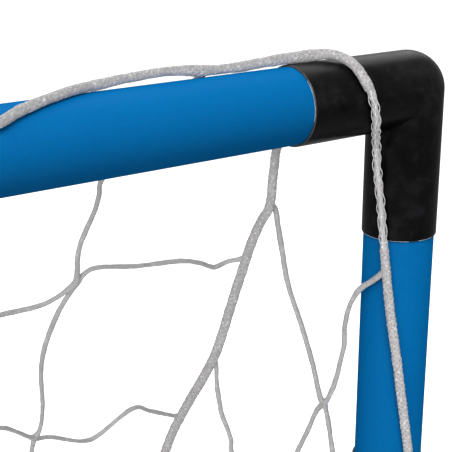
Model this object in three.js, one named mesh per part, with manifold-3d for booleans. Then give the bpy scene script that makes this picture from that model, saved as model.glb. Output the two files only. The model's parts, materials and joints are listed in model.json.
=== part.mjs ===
// Fold-flat lawn goal: a steel tube front frame hinged on a U-shaped ground frame, with a net hung
// from the crossbar to the rear bar. Millimetres, +Z up, mouth facing -Y, origin on the ground at
// the middle of the footprint. "Right" is +X; paired pieces are built there and mirrored to -X.
import * as THREE from "three";
import { mergeVertices } from "three/addons/utils/BufferGeometryUtils.js";
import Module from "manifold-3d";

const wasm = await Module();
wasm.setup();

// ---- frame ----
const POST_X = 899; // upright axis, each side
const REAR_Y = 297; // rear bar axis
const POST_Y = -REAR_Y; // goal line
const BAR_Z = 1204; // crossbar axis
const RAIL_Z = 18; // side rail and rear bar axis
const TUBE_R = 16;
const TUBE_BORE_R = TUBE_R - 1.5;
const END_GAP = 0.3; // tube end to moulding
const MIDDLE_GAP = 0.2; // end of each half bar to the middle plane
const CORNER_R = 16.87; // moulded corner, a step proud of the tube
const LEG = 65.7; // corner point to the mouth of each corner leg
const SPIGOT_R = 14.1; // plug that goes into the tube
const SPIGOT_BORE_R = 11;
const SPIGOT_L = 42;
const SPIGOT_ROOT = 5; // start of the plug inside its moulding
const FOOT = { half: 9, height: 8 }; // block under each rear corner
const SLEEVE_L = 120; // steel sleeve inside the middle of the crossbar and of the rear bar
const SLEEVE_BORE_R = 12.1;

// ---- sprung buttons: distances run outward from the axis of the tube or hinge ----
const BUTTON_R = 3.3;
const BUTTON_HOLE_R = BUTTON_R + 0.4;
const BUTTON_AT = 88; // corner point to the snap button
const SLEEVE_BUTTON_X = 30;
const SNAP = {
  flangeR: 4.6, flangeStart: 8.2, flangeEnd: 9.4,
  stemStart: 9, stemEnd: 16.6, tipEnd: 17.9, tipR: 1.6,
};
const FOLD_LOCK = {
  flangeR: 5.2, flangeStart: 8.6, flangeEnd: 10.4,
  stemStart: 9, stemEnd: 22.4, tipEnd: 23.6, tipR: 1.9,
};

// ---- hinge ----
const PIN_Y = POST_Y + 9; // fold axis, set back and low so the folded uprights lie on the rails
const PIN_Z = 45;
const PIN_R = 4;
const PIN_HOLE_R = PIN_R + 0.3;
const EAR_R = 20;
const EAR_X = 19; // half width of the hinge base
const EAR_ROOT_Z = 20; // bottom of the block under the ears
const SOLE_FRONT = 18; // sole ends, from the upright axis
const SOLE_BACK = 40;
const SOLE_H = 28;
const SLOT_X = 10.8; // half width of the slot between the ears
const SLOT_FLOOR_Z = 28.8;
const TONGUE_X = 10.5; // half width of the tongue
const TONGUE_R = 15.5;
const TONGUE_BACK = 16; // rear face of the tongue block, from the upright axis
const RECESS_X = 3; // floor of the round recess that lets the lock button travel
const RECESS_R = 18;
const LOCK_Z = PIN_Z + 12;
const COLLAR_Z0 = PIN_Z + 26;
const COLLAR_Z1 = COLLAR_Z0 + 30;
const COLLAR_BORE_DEPTH = 12; // bore floor below the collar's upper face
const SOCKET_Y0 = 37; // rear socket of the hinge base, from the upright axis
const SOCKET_Y1 = 66;
const SOCKET_BORE_DEPTH = 15; // bore floor in front of the socket's mouth

// ---- cords, straps and net ----
const CORD_R = 2;
const CORD_SIDES = 6;
const CORD_OFF = TUBE_R + 0.3 + CORD_R; // cord axis off the tube axis
const STRAP_W = 25;
const STRAP_T = 1;
const STRAP_TUBE_GAP = 0.5;
const STRAP_CORD_GAP = 0.4;
const TOP_STRAP_DROP = 180.2; // crossbar axis to the upper edge of the highest strap on an upright
const ROPE_X = POST_X - 47; // seam rope between side and back net
const ROPE_TOP_Z = BAR_Z - 26;
const NET_LOW_Z = 40;
const SLOPE = (REAR_Y - POST_Y) / (BAR_Z - RAIL_Z); // run per unit drop of the net's back
const NET_T = 2;
const STRIP = 4; // width of the twine

// ---- facets and cutting ----
const SEG = 20;
const BORE_SEG = 16;
const SMALL_SEG = 12;
const ROPE_SEG = 8;
const OVERCUT = 1; // how far a bore's cutter runs past the open end

const vec = (x, y, z) => new THREE.Vector3(x, y, z);
const AXIS_X = vec(1, 0, 0);
const AXIS_Y = vec(0, 1, 0);
const AXIS_Z = vec(0, 0, 1);
const INWARD = vec(-1, 0, 0); // from the right side
const FORWARD = vec(0, -1, 0);
const DOWN = vec(0, 0, -1);

// ---- materials and the group ----
const MATERIALS = {
  tube: { color: 0x0064a3, roughness: 0.35, metalness: 0.1 },
  moulded: { color: 0x161617, roughness: 0.6, metalness: 0 },
  steel: { color: 0xb4b6b8, roughness: 0.3, metalness: 0.9 },
  accent: { color: 0xc23a1e, roughness: 0.5, metalness: 0 },
  strap: { color: 0x1a1a1c, roughness: 0.9, metalness: 0 },
  cord: { color: 0xbdbdba, roughness: 0.8, metalness: 0 },
  net: { color: 0xc9c9c6, roughness: 0.85, metalness: 0 },
};
const group = new THREE.Group();
group.name = "fold_flat_goal";

function add(name, solid, material) {
  const { numProp, numVert, vertProperties, triVerts } = solid.getMesh();
  const positions = new Float32Array(numVert * 3);
  for (let i = 0; i < numVert; i++) {
    positions.set(vertProperties.subarray(i * numProp, i * numProp + 3), i * 3);
  }
  const geometry = new THREE.BufferGeometry();
  geometry.setAttribute("position", new THREE.BufferAttribute(positions, 3));
  geometry.setIndex(new THREE.BufferAttribute(new Uint32Array(triVerts), 1));
  geometry.computeVertexNormals();
  const mesh = new THREE.Mesh(geometry, new THREE.MeshStandardMaterial(MATERIALS[material]));
  mesh.name = name;
  group.add(mesh);
}

function addPair(name, rightSolid, material) {
  add(name + "_right", rightSolid, material);
  add(name + "_left", rightSolid.mirror([1, 0, 0]), material);
}

// ---- basic solids ----
function solidOf(geometry, matrix) {
  const loose = geometry.index ? geometry.toNonIndexed() : geometry;
  const bare = new THREE.BufferGeometry();
  bare.setAttribute("position", loose.getAttribute("position"));
  if (matrix) bare.applyMatrix4(matrix);
  // Shared vertices close the surface, as Manifold needs.
  const merged = mergeVertices(bare, 1e-4);
  return new wasm.Manifold(
    new wasm.Mesh({
      numProp: 3,
      vertProperties: merged.attributes.position.array,
      triVerts: new Uint32Array(merged.index.array),
    }),
  );
}

const union = (...solids) => solids.reduce((a, b) => a.add(b));
const cut = (solid, ...tools) => tools.reduce((a, b) => a.subtract(b), solid);
const along = (point, direction, distance) => point.clone().addScaledVector(direction, distance);

// Cylinder or cone between two points.
function rod(radius, start, end, seg = SEG, endRadius = radius) {
  const span = end.clone().sub(start);
  const length = span.length();
  const turn = new THREE.Quaternion().setFromUnitVectors(AXIS_Y, span.normalize());
  const matrix = new THREE.Matrix4().compose(start.clone().lerp(end, 0.5), turn, vec(1, 1, 1));
  return solidOf(new THREE.CylinderGeometry(endRadius, radius, length, seg), matrix);
}

// Box centred on the right upright's x.
function sideBox(halfX, y0, y1, z0, z1) {
  const matrix = new THREE.Matrix4().makeTranslation(POST_X, (y0 + y1) / 2, (z0 + z1) / 2);
  return solidOf(new THREE.BoxGeometry(2 * halfX, y1 - y0, z1 - z0), matrix);
}

// ---- tubes, corners and buttons ----
// Cutter for a button hole through one wall, outward from a point on the axis.
const buttonHole = (point, outward) =>
  rod(BUTTON_HOLE_R, along(point, outward, 5), along(point, outward, 25), SMALL_SEG);

// Hollow tube; each hole is [point on the axis, outward direction].
function tube(start, end, holes, radius = TUBE_R, boreRadius = TUBE_BORE_R) {
  const direction = end.clone().sub(start).normalize();
  return cut(
    rod(radius, start, end),
    rod(boreRadius, along(start, direction, -OVERCUT), along(end, direction, OVERCUT)),
    ...holes.map(([point, outward]) => buttonHole(point, outward)),
  );
}

// Moulded corner; each leg is [direction of the leg, outward direction of its button].
function corner(point, legs) {
  const reach = (direction, distance) => along(point, direction, distance);
  const { x, y, z } = point;
  const centre = new THREE.Matrix4().makeTranslation(x, y, z);
  return {
    body: union(
      solidOf(new THREE.SphereGeometry(CORNER_R, SEG, SEG / 2), centre),
      ...legs.map(([leg]) => rod(CORNER_R, point, reach(leg, LEG))),
      ...legs.map(([leg]) =>
        rod(SPIGOT_R, reach(leg, LEG - SPIGOT_ROOT), reach(leg, LEG + SPIGOT_L)),
      ),
    ),
    cutters: [
      ...legs.map(([leg]) =>
        rod(SPIGOT_BORE_R, point, reach(leg, LEG + SPIGOT_L + OVERCUT), BORE_SEG),
      ),
      ...legs.map(([leg, outward]) => buttonHole(reach(leg, BUTTON_AT), outward)),
    ],
  };
}

// Flange, stem and tapered tip along the outward direction.
function sprungButton(point, outward, size) {
  const out = (distance) => along(point, outward, distance);
  return union(
    rod(size.flangeR, out(size.flangeStart), out(size.flangeEnd), SMALL_SEG),
    rod(BUTTON_R, out(size.stemStart), out(size.stemEnd), SMALL_SEG),
    rod(BUTTON_R, out(size.stemEnd), out(size.tipEnd), SMALL_SEG, size.tipR),
  );
}

// Crossbar or rear bar: two tubes on a steel sleeve at the middle.
function addBar(stem, y, z, outward) {
  const onAxis = (x) => vec(x, y, z);
  const holes = [SLEEVE_BUTTON_X, POST_X - BUTTON_AT].map((x) => [onAxis(x), outward]);
  const half = tube(onAxis(MIDDLE_GAP), onAxis(POST_X - LEG - END_GAP), holes);
  addPair(stem, half, "tube");

  const ends = [onAxis(-SLEEVE_L / 2), onAxis(SLEEVE_L / 2)];
  const sleeveHoles = [-SLEEVE_BUTTON_X, SLEEVE_BUTTON_X].map((x) => [onAxis(x), outward]);
  add(stem + "_sleeve", tube(...ends, sleeveHoles, SPIGOT_R, SLEEVE_BORE_R), "steel");
  const button = sprungButton(onAxis(SLEEVE_BUTTON_X), outward, SNAP);
  addPair(stem + "_sleeve_button", button, "steel");
}

function addCorners() {
  const top = vec(POST_X, POST_Y, BAR_Z);
  const rear = vec(POST_X, REAR_Y, RAIL_Z);
  const addButton = (name, point, leg, outward) =>
    addPair(name, sprungButton(along(point, leg, BUTTON_AT), outward, SNAP), "steel");

  const topCorner = corner(top, [[INWARD, AXIS_Y], [DOWN, AXIS_Y]]);
  addPair("top_corner", cut(topCorner.body, ...topCorner.cutters), "moulded");
  addButton("crossbar_button", top, INWARD, AXIS_Y);
  addButton("upright_button", top, DOWN, AXIS_Y);

  const rearCorner = corner(rear, [[INWARD, FORWARD], [FORWARD, INWARD]]);
  const foot = sideBox(FOOT.half, REAR_Y - FOOT.half, REAR_Y + FOOT.half, 0, FOOT.height);
  // The foot joins before the bores are cut, so it doesn't fill them.
  addPair("rear_corner", cut(rearCorner.body.add(foot), ...rearCorner.cutters), "moulded");
  addButton("rear_bar_button", rear, INWARD, FORWARD);
  addButton("side_rail_button", rear, FORWARD, INWARD);
}

function addSideTubes() {
  const upright = tube(
    vec(POST_X, POST_Y, COLLAR_Z1 + END_GAP),
    vec(POST_X, POST_Y, BAR_Z - LEG - END_GAP),
    [[vec(POST_X, POST_Y, BAR_Z - BUTTON_AT), AXIS_Y]],
  );
  addPair("upright", upright, "tube");
  const rail = tube(
    vec(POST_X, POST_Y + SOCKET_Y1 + END_GAP, RAIL_Z),
    vec(POST_X, REAR_Y - LEG - END_GAP, RAIL_Z),
    [[vec(POST_X, REAR_Y - BUTTON_AT, RAIL_Z), INWARD]],
  );
  addPair("side_rail", rail, "tube");
}

// ---- hinge pieces, on the right ----
// Rods on the fold axis (x from the upright), the rail axis (y from the upright) and the upright.
const pinRod = (radius, x0, x1, ...rest) =>
  rod(radius, vec(POST_X + x0, PIN_Y, PIN_Z), vec(POST_X + x1, PIN_Y, PIN_Z), ...rest);
const railRod = (radius, y0, y1, seg) =>
  rod(radius, vec(POST_X, POST_Y + y0, RAIL_Z), vec(POST_X, POST_Y + y1, RAIL_Z), seg);
const uprightRod = (radius, z0, z1, seg) =>
  rod(radius, vec(POST_X, POST_Y, z0), vec(POST_X, POST_Y, z1), seg);
const pinHole = () => pinRod(PIN_HOLE_R, -30, 30, BORE_SEG);

// Sole, two ears on the fold axis, and a socket with a plug for the side rail.
function hingeBase() {
  const plugEnd = SOCKET_Y1 + SPIGOT_L;
  const lockAt = (x) => vec(POST_X + x, PIN_Y, LOCK_Z);
  return cut(
    union(
      sideBox(EAR_X, POST_Y - SOLE_FRONT, POST_Y + SOLE_BACK, 0, SOLE_H),
      pinRod(EAR_R, -EAR_X, EAR_X),
      sideBox(EAR_X, PIN_Y - EAR_R, PIN_Y + EAR_R, EAR_ROOT_Z, PIN_Z),
      railRod(CORNER_R, SOCKET_Y0, SOCKET_Y1),
      railRod(SPIGOT_R, SOCKET_Y1 - SPIGOT_ROOT, plugEnd),
    ),
    sideBox(SLOT_X, POST_Y - 30, POST_Y + 60, SLOT_FLOOR_Z, 80),
    pinHole(),
    rod(BUTTON_HOLE_R, lockAt(5), lockAt(30), SMALL_SEG),
    railRod(SPIGOT_BORE_R, SOCKET_Y1 - SOCKET_BORE_DEPTH, plugEnd + OVERCUT, BORE_SEG),
  );
}

// Tongue between the ears, collar under the upright, and a plug into the upright.
function knuckle() {
  const plugTop = COLLAR_Z1 + SPIGOT_L;
  return cut(
    union(
      pinRod(TONGUE_R, -TONGUE_X, TONGUE_X),
      sideBox(TONGUE_X, PIN_Y - TONGUE_R, POST_Y + TONGUE_BACK, PIN_Z, COLLAR_Z0 + 2),
      uprightRod(CORNER_R, COLLAR_Z0, COLLAR_Z1),
      uprightRod(SPIGOT_R, COLLAR_Z1 - SPIGOT_ROOT, plugTop),
    ),
    pinRod(RECESS_R, RECESS_X, TONGUE_X + 5),
    pinHole(),
    uprightRod(SPIGOT_BORE_R, COLLAR_Z1 - COLLAR_BORE_DEPTH, plugTop + OVERCUT, BORE_SEG),
  );
}

// Shank, a chamfered head outside the outer ear and a disc against the inner ear.
function pivotPin() {
  const headR = 7;
  const chamferR = 5;
  const discR = 6.5;
  const earGap = 0.3;
  const rimX = EAR_X + 1.8;
  return union(
    pinRod(PIN_R, -EAR_X - 2, EAR_X + 2, BORE_SEG),
    pinRod(headR, EAR_X + earGap, rimX, BORE_SEG),
    pinRod(headR, rimX, EAR_X + 2.8, BORE_SEG, chamferR),
    pinRod(discR, -rimX, -EAR_X - earGap, BORE_SEG),
  );
}

function addHinges() {
  addPair("hinge_base", hingeBase(), "moulded");
  addPair("knuckle", knuckle(), "moulded");
  addPair("pivot_pin", pivotPin(), "steel");
  const lock = sprungButton(vec(POST_X, PIN_Y, LOCK_Z), AXIS_X, FOLD_LOCK);
  addPair("fold_lock_button", lock, "accent");
}

// ---- straps ----
// Convex hull of 2D points, anticlockwise.
function convexHull(points) {
  const sorted = points.slice().sort((a, b) => a[0] - b[0] || a[1] - b[1]);
  const cross = (o, a, b) => (a[0] - o[0]) * (b[1] - o[1]) - (a[1] - o[1]) * (b[0] - o[0]);
  const chain = (list) => {
    const kept = [];
    for (const point of list) {
      while (kept.length > 1 && cross(kept.at(-2), kept.at(-1), point) <= 1e-9) kept.pop();
      kept.push(point);
    }
    kept.pop();
    return kept;
  };
  return chain(sorted).concat(chain(sorted.reverse()));
}

function circlePoints(x, y, radius, count) {
  return Array.from({ length: count }, (_, i) => {
    const angle = (i / count) * 2 * Math.PI;
    return [x + radius * Math.cos(angle), y + radius * Math.sin(angle)];
  });
}

// Outline round a tube and the cord beside it, the cord lying at cordAngle.
function strapOutline(cordAngle, grow) {
  const cordX = CORD_OFF * Math.cos(cordAngle);
  const cordY = CORD_OFF * Math.sin(cordAngle);
  const hull = convexHull([
    ...circlePoints(0, 0, TUBE_R + STRAP_TUBE_GAP + grow, 18),
    ...circlePoints(cordX, cordY, CORD_R + STRAP_CORD_GAP + grow, 8),
  ]);
  return hull.map((point) => new THREE.Vector2(...point));
}

// Strap in the plane of two axes; cordAngle in degrees from the first towards the second.
function strap(centre, first, second, cordAngle) {
  const angle = (cordAngle * Math.PI) / 180;
  const shape = new THREE.Shape(strapOutline(angle, STRAP_T));
  shape.holes.push(new THREE.Path(strapOutline(angle, 0).reverse()));
  const settings = { depth: STRAP_W, bevelEnabled: false, curveSegments: 1 };
  const normal = first.clone().cross(second);
  const matrix = new THREE.Matrix4()
    .makeBasis(first, second, normal)
    .setPosition(along(centre, normal, -STRAP_W / 2));
  return solidOf(new THREE.ExtrudeGeometry(shape, settings), matrix);
}

function addStraps() {
  // The cord lies in front of the upright, outside the rail, above and in front of the crossbar,
  // and behind the rear bar.
  for (const [tag, z] of [
    ["upper", BAR_Z - TOP_STRAP_DROP - STRAP_W / 2],
    ["middle", 620],
    ["lower", 215],
  ]) {
    const solid = strap(vec(POST_X, POST_Y, z), AXIS_X, AXIS_Y, -90);
    addPair("strap_upright_" + tag, solid, "strap");
  }
  addPair("strap_rail", strap(vec(POST_X, 10, RAIL_Z), AXIS_Z, AXIS_X, 90), "strap");
  for (const [tag, x] of [["outer", 600], ["inner", 200]]) {
    const solid = strap(vec(x, POST_Y, BAR_Z), AXIS_Y, AXIS_Z, 135);
    addPair("strap_crossbar_" + tag, solid, "strap");
  }
  addPair("strap_rear", strap(vec(400, REAR_Y, RAIL_Z), AXIS_Y, AXIS_Z, 0), "strap");
}

// ---- cords ----
// Solid cord through a list of points; each ring's frame is carried on from the last, so the
// cord doesn't twist.
function cord(points) {
  const count = points.length;
  const positions = [];
  const indices = [];
  const tangents = points.map((_, i) => {
    const next = points[Math.min(count - 1, i + 1)];
    return next.clone().sub(points[Math.max(0, i - 1)]).normalize();
  });
  const normal = Math.abs(tangents[0].z) < 0.9 ? AXIS_Z.clone() : AXIS_X.clone();
  points.forEach((point, i) => {
    normal.addScaledVector(tangents[i], -normal.dot(tangents[i])).normalize();
    const binormal = tangents[i].clone().cross(normal);
    for (const [across, up] of circlePoints(0, 0, CORD_R, CORD_SIDES)) {
      const vertex = along(along(point, normal, across), binormal, up);
      positions.push(vertex.x, vertex.y, vertex.z);
    }
  });
  for (let i = 0; i + 1 < count; i++) {
    for (let k = 0; k < CORD_SIDES; k++) {
      const a = i * CORD_SIDES + k;
      const b = i * CORD_SIDES + ((k + 1) % CORD_SIDES);
      indices.push(a, b, b + CORD_SIDES, a, b + CORD_SIDES, a + CORD_SIDES);
    }
  }
  const last = (count - 1) * CORD_SIDES;
  for (let k = 1; k + 1 < CORD_SIDES; k++) {
    indices.push(0, k + 1, k, last, last + k, last + k + 1);
  }
  const geometry = new THREE.BufferGeometry();
  geometry.setAttribute("position", new THREE.Float32BufferAttribute(positions, 3));
  geometry.setIndex(indices);
  return solidOf(geometry);
}

// Cord whose right half ends at x = 0 and is mirrored to the left.
function symmetricCord(half) {
  const mirrored = half.slice(0, -1).reverse().map(({ x, y, z }) => vec(-x, y, z));
  return cord([...half, ...mirrored]);
}

// Border cord axis as [x, y, z] from the right top corner point: along the crossbar, over the
// corner and down the upright.
const CORNER_PATH = [
  [-199, -13.1, 12.5], [-190, -10, 15.1], [-181, -7, 16.7], [-171.5, -3.8, 17.7],
  [-161.5, -0.1, 18.1], [-151, 3.8, 18.2], [-141.7, 4, 18.7], [-132, 4, 19.4],
  [-120.5, 4.4, 19.5], [-107, 4, 18.9], [-94.8, 4, 18.7], [-84, 4.2, 18.9],
  [-72, 4.4, 19.2], [-60, 4.2, 19.4], [-50, 3.7, 19.5], [-44, 1.6, 19.4],
  [-41.8, -4, 18.7], [-40.6, -10, 16], [-39.2, -15, 11.6], [-37.4, -18.2, 6.3],
  [-35.5, -19.1, -1.2], [-32.8, -17.6, -7.6], [-29.2, -14.4, -13], [-24.6, -9.4, -18.6],
  [-19.4, -4.6, -24.9], [-18.6, -4.2, -33.3], [-18.2, -5.3, -42.1], [-17.7, -6.8, -51.9],
  [-17.2, -8, -60], [-16.4, -8.4, -68.2], [-15.9, -9, -77], [-15.2, -9.9, -85.8],
  [-13.8, -11.7, -98.6], [-11.3, -14.1, -117], [-8.3, -16.1, -139.7], [-4.2, -17.6, -160],
  [-1, -18.2, -172], [0, -18.3, -178],
];
const CORNER_STEPS = 46;
const CORNER_CORD_OFF = CORD_R + 0.32; // least distance from cord axis to tube or corner

// Pushes a point of the corner path out until it clears both the crossbar and the upright.
function clearOfFrame({ x, y, z }) {
  const barOff = (x < -LEG ? TUBE_R : CORNER_R) + CORNER_CORD_OFF;
  for (let i = 0; i < 40; i++) {
    const postOff = (z < -LEG ? TUBE_R : CORNER_R) + CORNER_CORD_OFF;
    const barOffNow = x < -LEG ? barOff : CORNER_R + CORNER_CORD_OFF;
    const hitsBar = x < 0 && Math.hypot(y, z) < barOffNow;
    const hitsPost = z < 0 && Math.hypot(x, y) < postOff;
    if (!hitsBar && !hitsPost) break;
    if (hitsBar) {
      const scale = barOffNow / Math.hypot(y, z);
      y *= scale;
      z *= scale;
    }
    if (hitsPost) {
      const scale = postOff / Math.hypot(x, y);
      x *= scale;
      y *= scale;
    }
  }
  return vec(x, y, z);
}

function borderCord() {
  const points = CORNER_PATH.map((point) => vec(...point));
  const curve = new THREE.CatmullRomCurve3(points, false, "centripetal");
  const corner = vec(POST_X, POST_Y, BAR_Z);
  const overCorner = [];
  for (let i = CORNER_STEPS; i >= 0; i--) {
    overCorner.push(clearOfFrame(curve.getPointAt(i / CORNER_STEPS)).add(corner));
  }
  const upUpright = [COLLAR_Z1 + 8, 400, 800].map((z) => vec(POST_X, POST_Y - CORD_OFF, z));
  const diagonal = CORD_OFF * Math.SQRT1_2;
  const across = [620, 0].map((x) => vec(x, POST_Y - diagonal, BAR_Z + diagonal));
  return symmetricCord([...upUpright, ...overCorner, ...across]);
}

// Bottom cord of the net, outside the rails and behind the rear bar.
function bottomCord() {
  const cornerOff = CORNER_R + 0.4 + CORD_R;
  const bendR = cornerOff + 0.2;
  const path = [
    [POST_X + CORD_OFF, POST_Y + SOCKET_Y1 + 12],
    [POST_X + CORD_OFF, 10],
    [POST_X + CORD_OFF, REAR_Y - LEG - 12],
    [POST_X + cornerOff, REAR_Y - LEG],
  ];
  for (let i = 0; i <= 8; i++) {
    const angle = (i / 8) * (Math.PI / 2);
    path.push([POST_X + bendR * Math.cos(angle), REAR_Y + bendR * Math.sin(angle)]);
  }
  path.push(
    [POST_X - LEG, REAR_Y + cornerOff],
    [POST_X - LEG - 12, REAR_Y + CORD_OFF],
    [0, REAR_Y + CORD_OFF],
  );
  return symmetricCord(path.map(([x, y]) => vec(x, y, RAIL_Z)));
}

// ---- net ----
const backY = (z) => POST_Y + SLOPE * (BAR_Z - z);

function seamRope() {
  const onRope = (z) => vec(ROPE_X, backY(z), z);
  return rod(CORD_R, onRope(ROPE_TOP_Z), onRope(NET_LOW_Z), ROPE_SEG);
}

// Flat panel: a rim of twine and crossing strips [x0, y0, x1, y1], all in one body.
// outlineAt(inset) gives the panel's outline moved inward.
function panel(outlineAt, strips, matrix) {
  const section = (points) => new wasm.CrossSection([points]);
  const whole = section(outlineAt(0));
  let twine = whole.subtract(section(outlineAt(STRIP)));
  for (const [x0, y0, x1, y1] of strips) {
    const length = Math.hypot(x1 - x0, y1 - y0);
    const dx = (-(y1 - y0) / length) * (STRIP / 2);
    const dy = ((x1 - x0) / length) * (STRIP / 2);
    const bar = section([
      [x0 - dx, y0 - dy],
      [x1 - dx, y1 - dy],
      [x1 + dx, y1 + dy],
      [x0 + dx, y0 + dy],
    ]);
    twine = twine.add(bar.intersect(whole));
  }
  return twine.extrude(NET_T).transform(matrix.elements);
}

// Back panel, drawn with x across and y down the slope.
function backNet() {
  const columns = 8;
  const rows = 6;
  const downSlope = vec(0, SLOPE, -1).normalize();
  const half = ROPE_X - CORD_R - 1.5;
  const length = (ROPE_TOP_Z - NET_LOW_Z) / -downSlope.z;
  const outlineAt = (inset) => [
    [-half + inset, inset],
    [half - inset, inset],
    [half - inset, length - inset],
    [-half + inset, length - inset],
  ];
  const strips = [];
  for (let i = 1; i < columns; i++) {
    const x = -half + (i * 2 * half) / columns;
    strips.push([x, 0, x, length]);
  }
  for (let i = 1; i < rows; i++) {
    const y = (i * length) / rows;
    strips.push([-half, y, half, y]);
  }
  const normal = AXIS_X.clone().cross(downSlope);
  const top = vec(0, backY(ROPE_TOP_Z), ROPE_TOP_Z);
  const matrix = new THREE.Matrix4()
    .makeBasis(AXIS_X, downSlope, normal)
    .setPosition(along(top, normal, -NET_T / 2));
  return panel(outlineAt, strips, matrix);
}

// Side panel: a triangle in the plane of the seam rope, drawn with world y across and z up.
function sideNet() {
  const frontY = POST_Y + 22;
  const ropeOff = CORD_R + 2.5; // square to the rope
  const slant = Math.hypot(1, SLOPE);
  const outlineAt = (inset) => {
    const y = frontY + inset;
    const z = NET_LOW_Z + inset;
    const backOff = (ropeOff + inset) * slant;
    return [
      [y, z],
      [backY(z) - backOff, z],
      [y, BAR_Z - (y + backOff - POST_Y) / SLOPE],
    ];
  };
  const pitch = 320;
  const rise = 980;
  const y0 = frontY - 50;
  const y1 = frontY + 650;
  const strips = [];
  for (let i = -3; i < 7; i++) {
    const rising = i * pitch;
    const falling = rising + pitch / 2;
    strips.push([y0, rising, y1, rising + rise], [y0, falling, y1, falling - rise]);
  }
  const matrix = new THREE.Matrix4()
    .makeBasis(AXIS_Y, AXIS_Z, AXIS_X)
    .setPosition(ROPE_X - NET_T / 2, 0, 0);
  return panel(outlineAt, strips, matrix);
}

// ---- assembly ----
addBar("crossbar", POST_Y, BAR_Z, AXIS_Y);
addBar("rear_bar", REAR_Y, RAIL_Z, FORWARD);
addCorners();
addSideTubes();
addHinges();
addStraps();
add("border_cord", borderCord(), "cord");
add("bottom_cord", bottomCord(), "cord");
addPair("seam_rope", seamRope(), "cord");
add("net_back", backNet(), "net");
addPair("net_side", sideNet(), "net");

export default group;
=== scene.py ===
# A folding net goal. X runs across it, with the side called right at +x, the mouth faces -y and
# z is up from the floor. The front frame (crossbar and uprights) hinges on the ground frame
# (side rails and rear bar); nets close the back and the sides. Lengths are in millimetres.
import math
from functools import cached_property
from itertools import product

import bmesh
import bpy
import numpy as np
from mathutils import Matrix, Vector
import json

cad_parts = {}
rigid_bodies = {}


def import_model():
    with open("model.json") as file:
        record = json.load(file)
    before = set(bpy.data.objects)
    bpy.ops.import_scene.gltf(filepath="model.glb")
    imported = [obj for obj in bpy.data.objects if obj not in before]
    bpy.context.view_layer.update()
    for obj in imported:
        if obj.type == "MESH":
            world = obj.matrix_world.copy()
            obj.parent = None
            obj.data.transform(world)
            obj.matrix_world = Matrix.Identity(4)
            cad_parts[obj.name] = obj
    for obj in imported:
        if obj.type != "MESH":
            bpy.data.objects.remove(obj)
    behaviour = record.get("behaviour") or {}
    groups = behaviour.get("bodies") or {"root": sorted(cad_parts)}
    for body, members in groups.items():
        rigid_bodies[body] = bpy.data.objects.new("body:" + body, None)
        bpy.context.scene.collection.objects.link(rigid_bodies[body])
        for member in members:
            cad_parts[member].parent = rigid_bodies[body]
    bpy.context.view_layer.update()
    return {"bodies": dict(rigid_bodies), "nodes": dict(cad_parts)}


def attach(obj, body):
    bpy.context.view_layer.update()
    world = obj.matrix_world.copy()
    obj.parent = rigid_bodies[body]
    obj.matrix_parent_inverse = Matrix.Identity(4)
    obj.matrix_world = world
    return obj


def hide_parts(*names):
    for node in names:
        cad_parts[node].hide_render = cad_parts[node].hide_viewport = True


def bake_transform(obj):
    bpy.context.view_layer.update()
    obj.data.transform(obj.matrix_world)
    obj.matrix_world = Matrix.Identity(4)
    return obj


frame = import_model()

# ---------------------------------------------------------------- driving dimensions
MM = 0.001
TUBE_R, BORE_R = 16.0, 14.5
CORNER_R = 16.87  # outside of the moulded corners
ARM = 65.7  # reach of a corner's arm from the crossing of its axes
POST_X, POST_Y, REAR_Y = 899.0, -297.0, 297.0
BAR_Z, RAIL_Z = 1204.0, 18.0
PIN_DY, PIN_Z = 9.0, 45.0  # fold axis: behind the upright's axis, and above the floor
BUTTON_IN = 88.0  # snap button to the corner's axes
SLEEVE_BUTTON_X = 30.0
CORD_R = 2.0
CORD_OFF = TUBE_R + 0.3 + CORD_R  # tube axis to cord axis
ROPE_IN = 47.0  # seam rope to the upright's axis
WRAP_R = 17.3  # twine axis round a tube
TWINE_R = 1.04
DROP = RAIL_Z - BAR_Z  # ground frame's height, seen from the crossbar
SIDES = (("right", 1), ("left", -1))

# Cords and nets are drawn "corner-local": from TOP, the crossing of the axes at the right
TOP = np.array([POST_X, POST_Y, BAR_Z])
MOUTH_POINT = np.array([-352.0, -349.0, 94.0])  # in front of the mouth; the cord's flat faces it

# Camera, corner-local place and measured axes
CAMERA_PLACE = np.array([-351.715, -348.918, 93.728])
CAMERA_FORWARD = (0.56057, 0.76945, -0.30611)
CAMERA_RIGHT = (0.80837, -0.58867, 0.0006)
LENS = 89.686434


def mirror_factor(sign):
    return np.array([sign, 1, 1])


# ---------------------------------------------------------------- meshes
def new_mesh(name, points, faces, material, smooth=True):
    """One mesh object from points in millimetres and a list of face arrays."""
    faces = [np.asarray(f, np.int32) for f in faces]
    sizes = np.concatenate([np.full(len(f), f.shape[1]) for f in faces])
    loops = np.concatenate([f.ravel() for f in faces])
    points = np.asarray(points, float) * MM
    mesh = bpy.data.meshes.new(name)
    mesh.vertices.add(len(points))
    mesh.vertices.foreach_set("co", points.astype(np.float32).ravel())
    mesh.loops.add(len(loops))
    mesh.loops.foreach_set("vertex_index", loops)
    mesh.polygons.add(len(sizes))
    mesh.polygons.foreach_set("loop_start", (np.cumsum(sizes) - sizes).astype(np.int32))
    mesh.update(calc_edges=True)
    mesh.validate()
    mesh.polygons.foreach_set("use_smooth", np.full(len(mesh.polygons), smooth))
    ob = bpy.data.objects.new(name, mesh)
    bpy.context.scene.collection.objects.link(ob)
    if material:
        mesh.materials.append(material)
    return ob


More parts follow.
